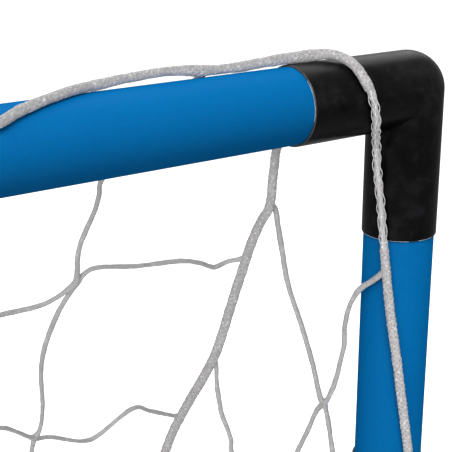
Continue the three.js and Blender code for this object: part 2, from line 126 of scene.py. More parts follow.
def sharpen(ob, angle=32.0, merge=1e-6):
    """Welds the mesh and shades it smooth, except over edges steeper than the angle."""
    bm = bmesh.new()
    bm.from_mesh(ob.data)
    bmesh.ops.remove_doubles(bm, verts=bm.verts, dist=merge)
    bmesh.ops.dissolve_degenerate(bm, dist=1e-7, edges=bm.edges)
    bmesh.ops.recalc_face_normals(bm, faces=bm.faces)
    limit = math.radians(angle)
    for edge in bm.edges:
        edge.smooth = not (len(edge.link_faces) == 2 and edge.calc_face_angle(0.0) > limit)
    for face in bm.faces:
        face.smooth = True
    bm.to_mesh(ob.data)
    bm.free()


def unit(v):
    v = np.asarray(v, float)
    return v / np.linalg.norm(v, axis=-1, keepdims=True)


def turn(count):
    """Even angles round a circle."""
    return np.linspace(0, 2 * np.pi, count, endpoint=False)


def circle(axis, reference, count):
    """Unit circle square to the axis, started from the reference direction."""
    first = unit(np.cross(axis, reference))
    angles = turn(count)
    return np.outer(np.cos(angles), first) + np.outer(np.sin(angles), np.cross(axis, first))


def skin(rings, close=True):
    """Quads over rings shaped (n, k, 3), capped with fans."""
    n, k, _ = rings.shape
    points = rings.reshape(-1, 3)
    start = np.arange(n - 1)[:, None] * k
    a = np.arange(k)
    b = (a + 1) % k
    quads = np.stack([start + a, start + b, start + k + b, start + k + a], -1)
    faces = [quads.reshape(-1, 4)]
    if close:
        points = np.vstack([points, rings[0].mean(0), rings[-1].mean(0)])
        last = (n - 1) * k
        faces.append(np.stack([np.full(k, n * k), b, a], 1))
        faces.append(np.stack([np.full(k, n * k + 1), last + a, last + b], 1))
    return points, faces


def join(parts):
    points, by_size, count = [], {}, 0
    for part_points, part_faces in parts:
        points.append(part_points)
        for faces in part_faces:
            by_size.setdefault(faces.shape[1], []).append(faces + count)
        count += len(part_points)
    return np.vstack(points), [np.concatenate(faces) for faces in by_size.values()]


def rod(start, end, radius, sides, end_radius=None):
    start, end = np.asarray(start, float), np.asarray(end, float)
    axis = unit(end - start)
    reference = [0.13, 0.57, 0.81] if abs(axis[0]) > 0.6 else [1.0, 0.05, 0.02]
    ring = circle(axis, reference, sides)
    end_radius = radius if end_radius is None else end_radius
    rings = np.array([start + ring * radius, end + ring * end_radius])
    points, faces = skin(rings, close=False)
    caps = [[list(range(sides))[::-1]], [list(range(sides, 2 * sides))]]
    return points, faces + caps


def box(low, high):
    faces = [[0, 1, 3, 2], [4, 6, 7, 5], [0, 4, 5, 1], [2, 3, 7, 6], [0, 2, 6, 4], [1, 5, 7, 3]]
    return list(product(*zip(low, high))), [faces]


def solid(name, adds, cuts, material, bevel=0.0, segments=2):
    """Joins and cuts plain solids, rounds the edges, and returns one smooth object."""
    base = new_mesh(name, *adds[0], None)
    tools = []
    for operation, shapes in (("UNION", adds[1:]), ("DIFFERENCE", cuts)):
        for shape in shapes:
            tool = new_mesh("tool", *shape, None)
            tools.append(tool)
            step = base.modifiers.new("boolean", "BOOLEAN")
            step.operation, step.object, step.solver = operation, tool, "EXACT"
    if bevel:
        step = base.modifiers.new("bevel", "BEVEL")
        step.width, step.segments = bevel * MM, segments
        step.limit_method, step.angle_limit = "ANGLE", math.radians(28)
        step.use_clamp_overlap = True
    graph = bpy.context.evaluated_depsgraph_get()
    mesh = bpy.data.meshes.new_from_object(base.evaluated_get(graph))
    plain = base.data
    base.modifiers.clear()
    base.data = mesh
    mesh.name = name
    bpy.data.meshes.remove(plain)
    for tool in tools:
        tool_mesh = tool.data
        bpy.data.objects.remove(tool)
        bpy.data.meshes.remove(tool_mesh)
    mesh.materials.clear()
    mesh.materials.append(material)
    sharpen(base)
    return base


def mirrored(ob, name):
    mesh = ob.data.copy()
    mesh.name = name
    mesh.transform(Matrix.Diagonal((-1, 1, 1, 1)))
    mesh.flip_normals()
    copy = bpy.data.objects.new(name, mesh)
    bpy.context.scene.collection.objects.link(copy)
    return copy


# ---------------------------------------------------------------- curves
def travel(path):
    """Distance covered at each point of a path."""
    return np.concatenate([[0], np.cumsum(np.linalg.norm(np.diff(path, axis=0), axis=1))])


def resample(path, step):
    along = travel(path)
    count = max(2, int(round(along[-1] / step)) + 1)
    places = np.linspace(0, along[-1], count)
    return np.stack([np.interp(places, along, path[:, k]) for k in range(3)], 1)


def smooth_curve(points, step):
    """Centripetal Catmull-Rom through the points, resampled to an even step."""
    points = np.asarray(points, float)
    moved = np.linalg.norm(np.diff(points, axis=0), axis=1) > 1e-6
    points = points[np.concatenate([[True], moved])]
    padded = np.vstack([2 * points[0] - points[1], points, 2 * points[-1] - points[-2]])

    def lerp(t, t_a, t_b, a, b):
        return (t_b - t) / (t_b - t_a) * a + (t - t_a) / (t_b - t_a) * b

    pieces = []
    for i in range(len(padded) - 3):
        p0, p1, p2, p3 = four = padded[i : i + 4]
        spans = np.linalg.norm(np.diff(four, axis=0), axis=1) ** 0.5
        t0, t1, t2, t3 = np.concatenate([[0], np.cumsum(spans)])
        t = np.linspace(t1, t2, 24, endpoint=False)[:, None]
        middle = lerp(t, t1, t2, p1, p2)
        before = lerp(t, t0, t2, lerp(t, t0, t1, p0, p1), middle)
        after = lerp(t, t1, t3, middle, lerp(t, t2, t3, p2, p3))
        pieces.append(lerp(t, t1, t2, before, after))
    return resample(np.vstack(pieces + [points[-1:]]), step)


def frames(path):
    """Tangent, normal and side directions that follow the path without twisting."""
    tangent = unit(np.gradient(path, axis=0))
    normal = np.zeros_like(path)
    n = np.array([0.0, 0.0, 1.0] if abs(tangent[0][2]) < 0.9 else [0.0, -1.0, 0.0])
    for i in range(len(path)):
        n = n - tangent[i] * (n @ tangent[i])
        n = n / np.linalg.norm(n)
        normal[i] = n
    return tangent, normal, np.cross(tangent, normal)


def wobble(along, length, seed):
    """Smooth noise over a length, roughly within -1 and 1."""
    rng = np.random.default_rng(seed + 1)
    terms = 7
    rates = rng.uniform(0.35, 1.6, terms) / length
    phases = rng.uniform(0, 2 * np.pi, terms)
    weights = rng.uniform(0.4, 1.0, terms)
    waves = np.sin(2 * np.pi * rates[:, None] * along + phases[:, None])
    return (weights[:, None] * waves).sum(0) / weights.sum() * 1.7


def radial(angle, normal, side):
    return np.cos(angle)[:, None] * normal + np.sin(angle)[:, None] * side


def sections(centre, first, second, x, y):
    """Rings about each centre, x along the first direction and y along the second."""
    return centre[:, None] + x[..., None] * first[:, None] + y[..., None] * second[:, None]


def ribbon(centre, outward, half_width, half_thick, sides, roundness=1.0):
    """A flat strand along the centre line; less roundness widens its section's ends."""
    across = unit(np.cross(unit(np.gradient(centre, axis=0)), outward))
    x, y = np.cos(turn(sides)), np.sin(turn(sides))
    x = half_width[:, None] * np.sign(x) * np.abs(x) ** roundness
    y = np.reshape(half_thick, (-1, 1)) * y
    return skin(sections(centre, across, outward, x, y))


def twine(path, radius, sides, knots, seed):
    """Twisted three-lobed twine, slightly flattened and swelling at the knots."""
    pitch, lobe, flat = 7.0, 0.035, 0.16
    knot_swell, knot_length = 0.45, 3.2
    _, normal, side = frames(path)
    along = travel(path)
    size = radius * (1 + 0.07 * wobble(along, length=18.0, seed=seed + 1))
    if len(knots):
        away = np.linalg.norm(path[:, None, :] - np.asarray(knots)[None], axis=2).min(1)
        size = size * (1 + knot_swell * np.exp(-((away / knot_length) ** 2)))
    angle = turn(sides)[None, :]
    twist = (2 * np.pi * along / pitch)[:, None]
    size = size[:, None] * (1 + lobe * np.cos(3 * angle - twist))
    rings = sections(path, normal, side, size * np.cos(angle), size * np.sin(angle))
    lean = along / 60.0 + wobble(along, length=40.0, seed=seed + 2)
    stretch = radial(lean, normal, side)[:, None, :]
    reach = ((rings - path[:, None, :]) * stretch).sum(-1, keepdims=True)
    return skin(rings + reach * stretch * flat)


def braid(path, radius, thick, weave, seed, sides, strands=5, pitch=12.0, width=1.6):
    """Hollow braid: two families of flat strands wound opposite ways, over one, under one."""
    _, normal, side = frames(path)
    along = travel(path)
    warp = along + 0.35 * pitch / 4 * wobble(along, length=26.0, seed=seed + 5)
    uneven = 0.05 * wobble(along, length=9.0, seed=seed + 3)
    uneven = 1 + uneven + 0.03 * wobble(along, length=3.1, seed=seed + 4)
    strand_r = (radius - thick * 0.5 - weave) * uneven
    parts = []
    for sign, k in product((1, -1), range(strands)):
        stray = wobble(along, length=7.0, seed=seed + 11 * k + 5 + sign)
        angle = 2 * np.pi * (k / strands + sign * warp / pitch) + 0.09 * stray
        lift = sign * weave * np.cos(2 * np.pi * strands * warp / pitch)
        outward = radial(angle, normal, side)
        centre = path + outward * (strand_r + lift)[:, None]
        vary = wobble(along, length=5.0, seed=seed + 31 * k + 20 + 7 * sign)
        half_width = 0.5 * width * (1 + 0.14 * vary)
        parts.append(ribbon(centre, outward, half_width, 0.5 * thick, sides, roundness=0.8))
    return join(parts)


def core(path, radius, seed):
    """The filling inside a braid, tapered to nothing at both ends."""
    _, normal, side = frames(path)
    along = travel(path)
    taper = np.clip(np.minimum(along, along[-1] - along) / 4.0, 0.05, 1) ** 0.5
    size = radius * (1 + 0.04 * wobble(along, length=6.0, seed=seed)) * taper
    angle = turn(10)[None, :]
    x, y = size[:, None] * np.cos(angle), size[:, None] * np.sin(angle)
    return skin(sections(path, normal, side, x, y))


def filled_braid(path, radius, core_radius, core_seed=4, **weaving):
    return join([braid(path, radius, **weaving), core(path, core_radius, core_seed)])


def knit(path, seed):
    """Knitted cord: a solid middle with four edge strands a quarter turn apart, two of them in
    the plane of the mouth. Each strand stands off in a short loop once every step and is drawn
    back in between; neighbours do so by turns. Returns the edge strands, then the middle."""
    radius, middle_r = 2.08, 1.38
    step, width, thick = 6.7, 0.95, 0.5
    ease = 9.0  # length over which the loops open at each end
    sunk = 0.12  # depth of a drawn-in strand's axis in the middle
    sides = 8

    def vary(length, offset):
        return wobble(along, length=length, seed=seed + offset)

    tangent = frames(path)[0]
    mirror = mirror_factor(np.sign(path[0, 0]))
    view = unit(MOUTH_POINT - (path * mirror - TOP))
    flat = unit(np.cross(tangent * mirror, view)) * mirror
    normal = unit(flat - tangent * (flat * tangent).sum(1, keepdims=True))
    side = np.cross(tangent, normal)
    along = travel(path)
    warp = along + 0.8 * vary(21.0, 5)
    opened = np.clip(np.minimum(along, along[-1] - along) / ease, 0, 1)
    body = middle_r * (1 + 0.05 * vary(9.0, 2) + 0.2 * (1 - opened))
    ring = turn(20)
    dent = np.zeros((len(along), len(ring)))
    edge = []
    for k in range(4):
        quarter = k * np.pi / 2 + 0.16 * vary(30.0, 40 + k)
        phase = warp / step + (0.5 if k in (1, 2) else 0.0) + 0.07 * vary(12.0, 60 + k)
        loop = 0.5 - 0.5 * np.cos(2 * np.pi * phase)
        tall = 1 + 0.22 * vary(15.0, 80 + k)
        rise = (1 - (1 - loop) ** 1.7) * tall * (0.45 + 0.55 * opened)
        strand_r = (middle_r - sunk) + (radius - thick / 2 - middle_r + sunk) * rise
        lean = quarter + 0.2 * np.sin(2 * np.pi * phase)
        outward = radial(lean, normal, side)
        half_width = 0.5 * width * (1 - 0.35 * loop + 0.25 * (1 - opened))
        half_width = half_width * (1 + 0.14 * vary(5.0, 31 * k + 20))
        half_thick = 0.5 * thick * (1 - 0.2 * loop)
        centre = path + outward * strand_r[:, None]
        edge.append(ribbon(centre, outward, half_width, half_thick, sides))
        gap = np.angle(np.exp(1j * (ring[None, :] - lean[:, None])))
        dent += (loop * opened)[:, None] ** 2 * np.exp(-((gap / 0.42) ** 2))
    ribs = 0.07 * np.cos(5 * ring[None, :] + (2 * np.pi * warp / 7.5)[:, None])
    size = body[:, None] * (1 - 0.26 * np.clip(dent, 0, 1.2)) + ribs
    middle = [skin(sections(path, normal, side, size * np.cos(ring), size * np.sin(ring)))]
    # a thin yarn wound each way round the middle
    for sign in (1, -1):
        angle = 2 * np.pi * warp / (2 * step) * sign + 0.25 * vary(9.0, 90 + sign)
        outward = radial(angle, normal, side)
        centre = path + outward * (body + 0.06)[:, None]
        half_width = 0.5 * 0.8 * (1 + 0.2 * vary(4.0, 95 + sign))
        middle.append(ribbon(centre, outward, half_width, 0.17, sides))
    return join(edge), join(middle)


# ---------------------------------------------------------------- shader building
def srgb(r, g, b):
    def linear(c):
        return c / 12.92 if c <= 0.04045 else ((c + 0.055) / 1.055) ** 2.4

    return tuple(linear(c / 255.0) for c in (r, g, b)) + (1.0,)


def feed(socket, value):
    """Links a socket to another's output, or sets its value."""
    if hasattr(value, "links"):
        socket.id_data.links.new(value, socket)
    else:
        socket.default_value = value


class Shader:
    """The node tree of a material or world, with short ways to add nodes."""

    def __init__(self, owner, output="ShaderNodeOutputMaterial"):
        owner.use_nodes = True
        self.owner = owner
        self.tree = owner.node_tree
        self.tree.nodes.clear()
        self.out = self.node(output)

    @cached_property
    def coords(self):
        return self.node("ShaderNodeTexCoord").outputs["Object"]

    def node(self, kind, inputs={}, **properties):
        node = self.tree.nodes.new(kind)
        for key, value in properties.items():
            setattr(node, key, value)
        for key, value in inputs.items():
            feed(node.inputs[key], value)
        return node

    def noise(self, scale, detail=3.0, rough=0.55, stretch=None):
        vector = self.coords
        if stretch:
            vector = self.node("ShaderNodeMapping", {0: vector, "Scale": stretch}).outputs[0]
        settings = {"Scale": scale, "Detail": detail, "Roughness": rough, "Vector": vector}
        return self.node("ShaderNodeTexNoise", settings).outputs["Fac"]

    def ramp(self, source, stops):
        node = self.node("ShaderNodeValToRGB", {0: source})
        elements = node.color_ramp.elements
        while len(elements) < len(stops):
            elements.new(0.5)
        for element, (place, colour) in zip(elements, stops):
            element.position = place
            element.color = (*colour, 1.0)[:4]
        return node.outputs[0]

    def remap(self, source, to, span=(0.3, 0.7)):
        ends = {"From Min": span[0], "From Max": span[1], "To Min": to[0], "To Max": to[1]}
        return self.node("ShaderNodeMapRange", {**ends, "Value": source}).outputs[0]

    def mix(self, share, a, b, mode="MIX"):
        inputs = {0: share, 6: a, 7: b}
        return self.node("ShaderNodeMix", inputs, data_type="RGBA", blend_type=mode).outputs[2]

    def calc(self, operation, a, b):
        return self.node("ShaderNodeMath", {0: a, 1: b}, operation=operation).outputs[0]

    def bump(self, height, strength, distance=0.0002, normal=None):
        inputs = {"Strength": strength, "Distance": distance, "Height": height}
        if normal is not None:
            inputs["Normal"] = normal
        return self.node("ShaderNodeBump", inputs).outputs[0]

    def mix_shader(self, share, a, b):
        return self.node("ShaderNodeMixShader", {0: share, 1: a, 2: b}).outputs[0]

    def finish(self, shader):
        feed(self.out.inputs[0], shader)
        return self.owner

    def principled(self, **inputs):
        inputs = {key.replace("_", " "): value for key, value in inputs.items()}
        return self.node("ShaderNodeBsdfPrincipled", inputs).outputs[0]

    def surface(self, **inputs):
        return self.finish(self.principled(**inputs))

    def glossed_surface(self, share, Roughness, Normal, **inputs):
        """A principled base under a weak gloss that is equal at every angle."""
        shared = {"Roughness": Roughness, "Normal": Normal}
        base = self.principled(**shared, **inputs)
        gloss = self.node("ShaderNodeBsdfGlossy", shared).outputs[0]
        return self.finish(self.mix_shader(share, base, gloss))


def new_shader(name):
    return Shader(bpy.data.materials.new(name))


# ---------------------------------------------------------------- materials
def blue_coat():
    m = new_shader("blue_powder_coat")
    big = m.noise(scale=9.0, detail=2.0)
    fine = m.noise(scale=420.0, detail=2.0)
    speck = m.noise(scale=1500.0, detail=1.0)
    base = m.mix(m.remap(big, to=(0.0, 1.0)), srgb(0, 93, 152), srgb(0, 97, 156))
    light = m.remap(fine, to=(0.0, 0.14), span=(0.4, 0.7))
    base = m.mix(light, base, srgb(4, 108, 170))
    streaks = m.noise(scale=60.0, detail=5.0, rough=0.7, stretch=(1, 1, 0.12))
    scuff = m.remap(streaks, to=(0.0, 0.16), span=(0.66, 0.8))
    base = m.mix(scuff, base, srgb(30, 112, 168))
    normal = m.bump(fine, strength=0.10, distance=0.00015)
    normal = m.bump(speck, strength=0.05, distance=0.00006, normal=normal)
    rough = m.remap(fine, to=(0.36, 0.46))
    return m.glossed_surface(
        share=0.005, Base_Color=base, Roughness=rough, Normal=normal, Specular_IOR_Level=0.0
    )


def moulded():
    m = new_shader("black_moulding")
    big = m.noise(scale=95.0, detail=4.0, rough=0.62)
    fine = m.noise(scale=700.0, detail=3.0, rough=0.6)
    base = m.ramp(big, [(0.34, srgb(3, 3, 4)), (0.5, srgb(8, 8, 9)), (0.7, srgb(22, 22, 24))])
    specks = m.noise(scale=190.0, detail=4.0, rough=0.7)
    dust = m.remap(specks, to=(0.0, 0.22), span=(0.58, 0.75))
    base = m.mix(dust, base, srgb(34, 34, 36))
    normal = m.bump(fine, strength=0.12, distance=0.0001)
    normal = m.bump(big, strength=0.08, distance=0.0006, normal=normal)
    rough = m.remap(big, to=(0.26, 0.4))
    return m.glossed_surface(
        share=0.005, Base_Color=base, Roughness=rough, Normal=normal, Specular_IOR_Level=0.05
    )


def zinc():
    m = new_shader("zinc_plate")
    streaks = m.noise(scale=160.0, detail=4.0, stretch=(1, 1, 0.3))
    grain = m.noise(scale=900.0, detail=2.0)
    base = m.ramp(streaks, [(0.3, (0.42, 0.43, 0.44)), (0.7, (0.62, 0.63, 0.63))])
    rough = m.remap(streaks, to=(0.26, 0.44))
    normal = m.bump(grain, strength=0.1, distance=0.0001)
    return m.surface(Base_Color=base, Roughness=rough, Metallic=0.95, Normal=normal)


def button_red():
    m = new_shader("button_red")
    patches = m.noise(scale=120.0)
    base = m.ramp(patches, [(0.3, srgb(158, 34, 22)), (0.75, srgb(188, 48, 30))])
    rough = m.remap(patches, to=(0.36, 0.5))
    normal = m.bump(m.noise(scale=800.0), strength=0.1, distance=0.0001)
    return m.surface(Base_Color=base, Roughness=rough, Normal=normal)


def webbing():
    m = new_shader("black_webbing")
    inputs = {"Scale": 420.0, "Distortion": 1.2, "Vector": m.coords}
    ribs = m.node("ShaderNodeTexWave", inputs, wave_type="BANDS", bands_direction="DIAGONAL")
    fuzz = m.noise(scale=900.0)
    base = m.mix(m.remap(fuzz, to=(0.0, 1.0)), srgb(14, 14, 15), srgb(40, 40, 43))
    normal = m.bump(ribs.outputs["Fac"], strength=0.5, distance=0.0003)
    normal = m.bump(fuzz, strength=0.4, normal=normal)
    rough = m.remap(fuzz, to=(0.78, 0.95))
    return m.surface(Base_Color=base, Roughness=rough, Normal=normal, Sheen_Weight=0.25)


# Painted highlight: a dark brownish colour for the corners' rims, lighter than the moulding,
# standing in for the light along the rim
def moulding_edge():
    m = new_shader("moulding_edge")
    mottle = m.noise(scale=300.0, detail=4.0, rough=0.65)
    base = m.ramp(mottle, [(0.3, srgb(30, 28, 28)), (0.7, srgb(74, 68, 66))])
    rough = m.remap(mottle, to=(0.3, 0.5))
    normal = m.bump(mottle, strength=0.2)
    return m.surface(Base_Color=base, Roughness=rough, Normal=normal, Specular_IOR_Level=0.5)


# Painted highlight: a pale grey-white for the stretches of the corners' rims that face the mouth
def rim_highlight_paint():
    m = new_shader("bare_cut_edge")
    mottle = m.noise(scale=90.0, detail=4.0, rough=0.65)
    base = m.ramp(mottle, [(0.3, srgb(120, 130, 138)), (0.6, srgb(226, 234, 238))])
    rough = m.remap(mottle, to=(0.25, 0.45))
    normal = m.bump(mottle, strength=0.1, distance=0.0001)
    return m.surface(Base_Color=base, Roughness=rough, Normal=normal)


def fibre(name, dark, middle, light, scale, rough, glow):
    m = new_shader(name)
    strands = m.noise(scale=scale, detail=4.0, rough=0.65)
    patches = m.noise(scale=scale * 0.16, detail=3.0, rough=0.6)
    base = m.ramp(strands, [(0.3, srgb(*dark)), (0.56, srgb(*middle)), (0.7, srgb(*light))])
    tint = m.ramp(patches, [(0.25, (0.86, 0.86, 0.85)), (0.75, (1.06, 1.06, 1.06))])
    return m.surface(
        Base_Color=m.mix(1.0, base, tint, mode="MULTIPLY"),
        Roughness=m.remap(strands, to=(rough - 0.12, rough + 0.12)),
        Normal=m.bump(strands, strength=0.35, distance=0.00018),
        Specular_IOR_Level=0.35,
        Sheen_Weight=0.12,
        Subsurface_Weight=glow,
        Subsurface_Radius=(0.002, 0.002, 0.002),
        Subsurface_Scale=0.4,
    )


BLUE, BLACK, ZINC, RED, STRAP = blue_coat(), moulded(), zinc(), button_red(), webbing()
# painted rim highlights for the corners
LIP_HIGHLIGHT, RIM_HIGHLIGHT = moulding_edge(), rim_highlight_paint()
# The cord's lightest stop gives pale flecks: partly the yarn's own pale fibres, partly painted
# glints
CORD = fibre("cord_braid", dark=(162, 160, 161), middle=(180, 178, 179), light=(244, 243, 244),
             scale=760.0, rough=0.5, glow=0.25)
# The knit's edge strands get a lighter copy of the cord colour: painted highlight on the raised
# loops
EDGE_HIGHLIGHT = fibre("cord_edge", dark=(176, 174, 175), middle=(196, 195, 196), light=(246, 246, 246),
             scale=620.0, rough=0.42, glow=0.25)
ROPE = fibre("rope_braid", dark=(155, 153, 154), middle=(169, 167, 168), light=(218, 217, 218),
             scale=700.0, rough=0.6, glow=0.25)
NET = fibre("net_twine", dark=(153, 152, 152), middle=(164, 163, 163), light=(179, 179, 179),
            scale=380.0, rough=0.62, glow=0.3)


# ---------------------------------------------------------------- motion
def done(ob, body, node=None):
    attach(ob, body)
    if node:
        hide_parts(node)


def fan(ob, node):
    """Net that spans both frames: bakes its placement into its mesh, reads its points and hides the
    packed node; its points are not turned.
    """
    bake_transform(ob)
    points = np.zeros(len(ob.data.vertices) * 3, np.float32)
    ob.data.vertices.foreach_get("co", points)
    points = points.reshape(-1, 3).astype(float)
    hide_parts(node)


# ---------------------------------------------------------------- tubes
BACKWARD, FORWARD = (0, 1, 0), (0, -1, 0)


def button_places(sign):
    """Where each snap button stands on its tube's axis, and which way it points."""
    corner_x = sign * (POST_X - BUTTON_IN)
    sleeve_x = sign * SLEEVE_BUTTON_X
    return {
        "crossbar_sleeve": ((sleeve_x, POST_Y, BAR_Z), BACKWARD),
        "crossbar": ((corner_x, POST_Y, BAR_Z), BACKWARD),
        "upright": ((sign * POST_X, POST_Y, BAR_Z - BUTTON_IN), BACKWARD),
        "rear_bar_sleeve": ((sleeve_x, REAR_Y, RAIL_Z), FORWARD),
        "rear_bar": ((corner_x, REAR_Y, RAIL_Z), FORWARD),
        "side_rail": ((sign * POST_X, REAR_Y - BUTTON_IN, RAIL_Z), (-sign, 0, 0)),
    }


def tube(stem, tag, sign, start, end, body):
    """Open tube with softened ends and a hole at each of its snap buttons."""
    start, end = np.asarray(start, float), np.asarray(end, float)
    sides, hole_r = 96, 3.7
    length = np.linalg.norm(end - start)
    axis = unit(end - start)
    ring = circle(axis, [0, 0, 1] if abs(axis[2]) < 0.9 else [0, 1, 0], sides)
    bands = np.linspace(0.5, length - 0.5, max(2, int(length / 120)))
    # section of the wall: place along the tube, radius
    mouth, shoulder = BORE_R + 0.15, TUBE_R - 0.12
    profile = [(0.0, mouth), (0.0, TUBE_R - 0.4), (0.15, shoulder)]
    profile += [(place, TUBE_R) for place in bands]
    profile += [(length - 0.15, shoulder), (length, TUBE_R - 0.4), (length, mouth)]
    profile += [(length - 0.3, BORE_R), (0.3, BORE_R)]
    rings = np.array([start + axis * place + ring * radius for place, radius in profile])
    points, faces = skin(rings, close=False)
    a = np.arange(sides)
    b = (a + 1) % sides
    last = (len(profile) - 1) * sides
    faces.append(np.stack([last + a, last + b, b, a], 1))
    holes = []
    for name, (place, toward) in button_places(sign).items():
        if name.startswith(stem):
            place, toward = np.array(place), np.array(toward)
            holes.append(rod(place + toward * 5.0, place + toward * 25.0, hole_r, 32))
    ob = solid(f"{stem}_{tag}_paint", [(points, faces)], holes, BLUE)
    done(ob, body, f"{stem}_{tag}")


SOCKET = ARM - 3.0  # corner axis to the end of the tube in the corner's arm
for stem, y, z, body in (
    ("crossbar", POST_Y, BAR_Z, "front_frame"),
    ("rear_bar", REAR_Y, RAIL_Z, "ground_frame"),
):
    for tag, sign in SIDES:
        tube(stem, tag, sign, (sign * 0.2, y, z), (sign * (POST_X - SOCKET), y, z), body)
for tag, sign in SIDES:
    x = sign * POST_X
    tube("upright", tag, sign, (x, POST_Y, 101.3), (x, POST_Y, BAR_Z - SOCKET), "front_frame")
    tube("side_rail", tag, sign, (x, POST_Y + 66.3, RAIL_Z), (x, REAR_Y - SOCKET, RAIL_Z),
         "ground_frame")


# ---------------------------------------------------------------- moulded corners
def elbow(centre, first, second):
    """Round elbow, arms along first and second: mitred inside the bend, curved outside."""
    third = np.cross(first, second)
    sides, straight = 112, 20
    # rolled end of an arm: place along it, radius
    end = [(ARM - 6, 16.06), (ARM, 16.06), (ARM, 16.36), (ARM, CORNER_R - 0.42)]
    end += [(ARM - 0.1, CORNER_R - 0.16), (ARM - 0.32, CORNER_R - 0.03), (ARM - 0.6, CORNER_R)]
    # stations: zone, place (mm on an arm, share on a fit, angle on the bend), radius
    stations = [("arm 1", place, radius) for place, radius in end]
    stations += [("arm 1", place, CORNER_R) for place in np.linspace(ARM - 3, straight, 8)]
    stations += [("fit 1", share, CORNER_R) for share in (0.6, 0.3, 0.0)]
    stations += [("bend", a, CORNER_R) for a in np.radians(np.linspace(0, 90, 25))[1:-1]]
    stations += [("fit 2", share, CORNER_R) for share in (0.0, 0.3, 0.6)]
    stations += [("arm 2", place, CORNER_R) for place in np.linspace(straight, ARM - 3, 8)]
    stations += [("arm 2", place, radius) for place, radius in end[::-1]]
    angles = turn(sides)
    rings = []
    for zone, place, radius in stations:
        inward, depth = radius * np.cos(angles), radius * np.sin(angles)
        across = centre + np.outer(depth, third)
        if zone == "bend":
            spoke = second * math.cos(place) + first * math.sin(place)
            curved = across + np.outer(np.minimum(inward, 0), spoke)
            mitre = across + np.outer(inward, first + second)
            rings.append(np.where(inward[:, None] < 0, curved, mitre))
            continue
        if zone.startswith("fit"):
            start = np.maximum(inward, 0)
            reach = start + (straight - start) * place
        else:
            reach = np.full(sides, place)
        arm, other = (first, second) if zone.endswith("1") else (second, first)
        rings.append(across + np.outer(reach, arm) + np.outer(inward, other))
    points, faces = skin(np.array(rings), close=False)
    # end fans
    points = np.vstack([points, centre + first * (ARM - 6), centre + second * (ARM - 6)])
    count, a = len(rings) * sides, np.arange(sides)
    b, last = (a + 1) % sides, count - sides
    faces.append(np.stack([np.full(sides, count), b, a], 1))
    faces.append(np.stack([np.full(sides, count + 1), last + a, last + b], 1))
    return points, faces


def corner(name, centre, first, second, body, foot):
    centre, first, second = (np.array(v, float) for v in (centre, first, second))
    ob = new_mesh(name + "_body", *elbow(centre, first, second), BLACK)
    sharpen(ob, angle=40, merge=2e-6)
    ob.data.materials.append(LIP_HIGHLIGHT)
    ob.data.materials.append(RIM_HIGHLIGHT)
    lip_highlight_slot, highlight_slot = 1, 2
    # rims of the arms: a dark brownish lip all round as painted highlight, with bright painted
    # highlight stretches towards the mouth
    for face in ob.data.polygons:
        place = np.array(face.center) / MM - centre
        outward = place[0] * np.sign(centre[0])
        for arm, other in ((first, second), (second, first)):
            reach = place @ arm
            if reach <= ARM - 0.4 or abs(place @ other) >= 20:
                continue
            if abs(arm[2]) > 0.5:
                bright = (outward < -8.5 or -4 < outward < 4.5) and place[1] < 6
            else:
                radius = np.linalg.norm(place - arm * reach)
                bright = radius < 16.3 and place[1] < 0 and -4 < place[2] < 12
            face.material_index = highlight_slot if bright else lip_highlight_slot
    if foot:
        x, y, half = centre[0], centre[1], 9
        block = box((x - half, y - half, 0.0), (x + half, y + half, 4.0))
        done(solid(name + "_body_pad", [block], [], BLACK, bevel=0.7), body)
    done(ob, body, name)


for tag, sign in SIDES:
    inward, x = (-sign, 0, 0), sign * POST_X
    corner(f"top_corner_{tag}", (x, POST_Y, BAR_Z), inward, (0, 0, -1), "front_frame", False)
    corner(f"rear_corner_{tag}", (x, REAR_Y, RAIL_Z), inward, FORWARD, "ground_frame", True)


# ---------------------------------------------------------------- fold joint
HINGE_HALF = 19.0  # half width of the hinge base
KNUCKLE_HALF = 10.5
LOCK_RISE = 12  # lock button above the pin


def at_post(x, y, z):
    return (POST_X + x, POST_Y + y, z)


def post_box(x, y, z):
    """Box about the right upright's axis from (low, high) pairs."""
    return box(at_post(x[0], y[0], z[0]), at_post(x[1], y[1], z[1]))


def cross_rod(x0, x1, radius, sides, end_radius=None, rise=0):
    """Rod along the fold axis, or above it by the rise."""
    z = PIN_Z + rise
    return rod(at_post(x0, PIN_DY, z), at_post(x1, PIN_DY, z), radius, sides, end_radius)


PIN_HOLE = cross_rod(-30, 30, 4.3, 32)


def hinge_base(name):
    half, cheek = HINGE_HALF, 20
    adds = [
        post_box((-half, half), (-18, 40), (0, 28)),
        cross_rod(-half, half, cheek, 96),
        post_box((-half, half), (PIN_DY - cheek, PIN_DY + cheek), (20, PIN_Z)),
        rod(at_post(0, 30, RAIL_Z), at_post(0, 66, RAIL_Z), CORNER_R, 96),  # rail socket
        post_box((-2.0, 2.0), (34, 58), (20, 36.2)),  # fin on the socket
        post_box((-half - 1.2, -half + 1), (-12, 34), (4, 7)),  # ribs on both flanks
        post_box((half - 1, half + 1.2), (-12, 34), (4, 7)),
    ]
    slot = post_box((-10.8, 10.8), (-30, 60), (28.8, 80))
    lock_hole = cross_rod(5, 30, 3.7, 32, rise=LOCK_RISE)
    return solid(name, adds, [slot, PIN_HOLE, lock_hole], BLACK, bevel=0.7)


def knuckle(name):
    half, eye_r = KNUCKLE_HALF, 15.5
    adds = [
        cross_rod(-half, half, eye_r, 96),
        post_box((-half, half), (PIN_DY - eye_r, 16), (PIN_Z, 73)),
        rod(at_post(0, 0, 71), at_post(0, 0, 101), CORNER_R, 96),  # upright's socket
        rod(at_post(0, 0, 96), at_post(0, 0, 98.0), CORNER_R + 0.45, 96),
    ]
    recess = cross_rod(3.0, 15.5, 18, 96)
    return solid(name, adds, [recess, PIN_HOLE], BLACK, bevel=0.5)


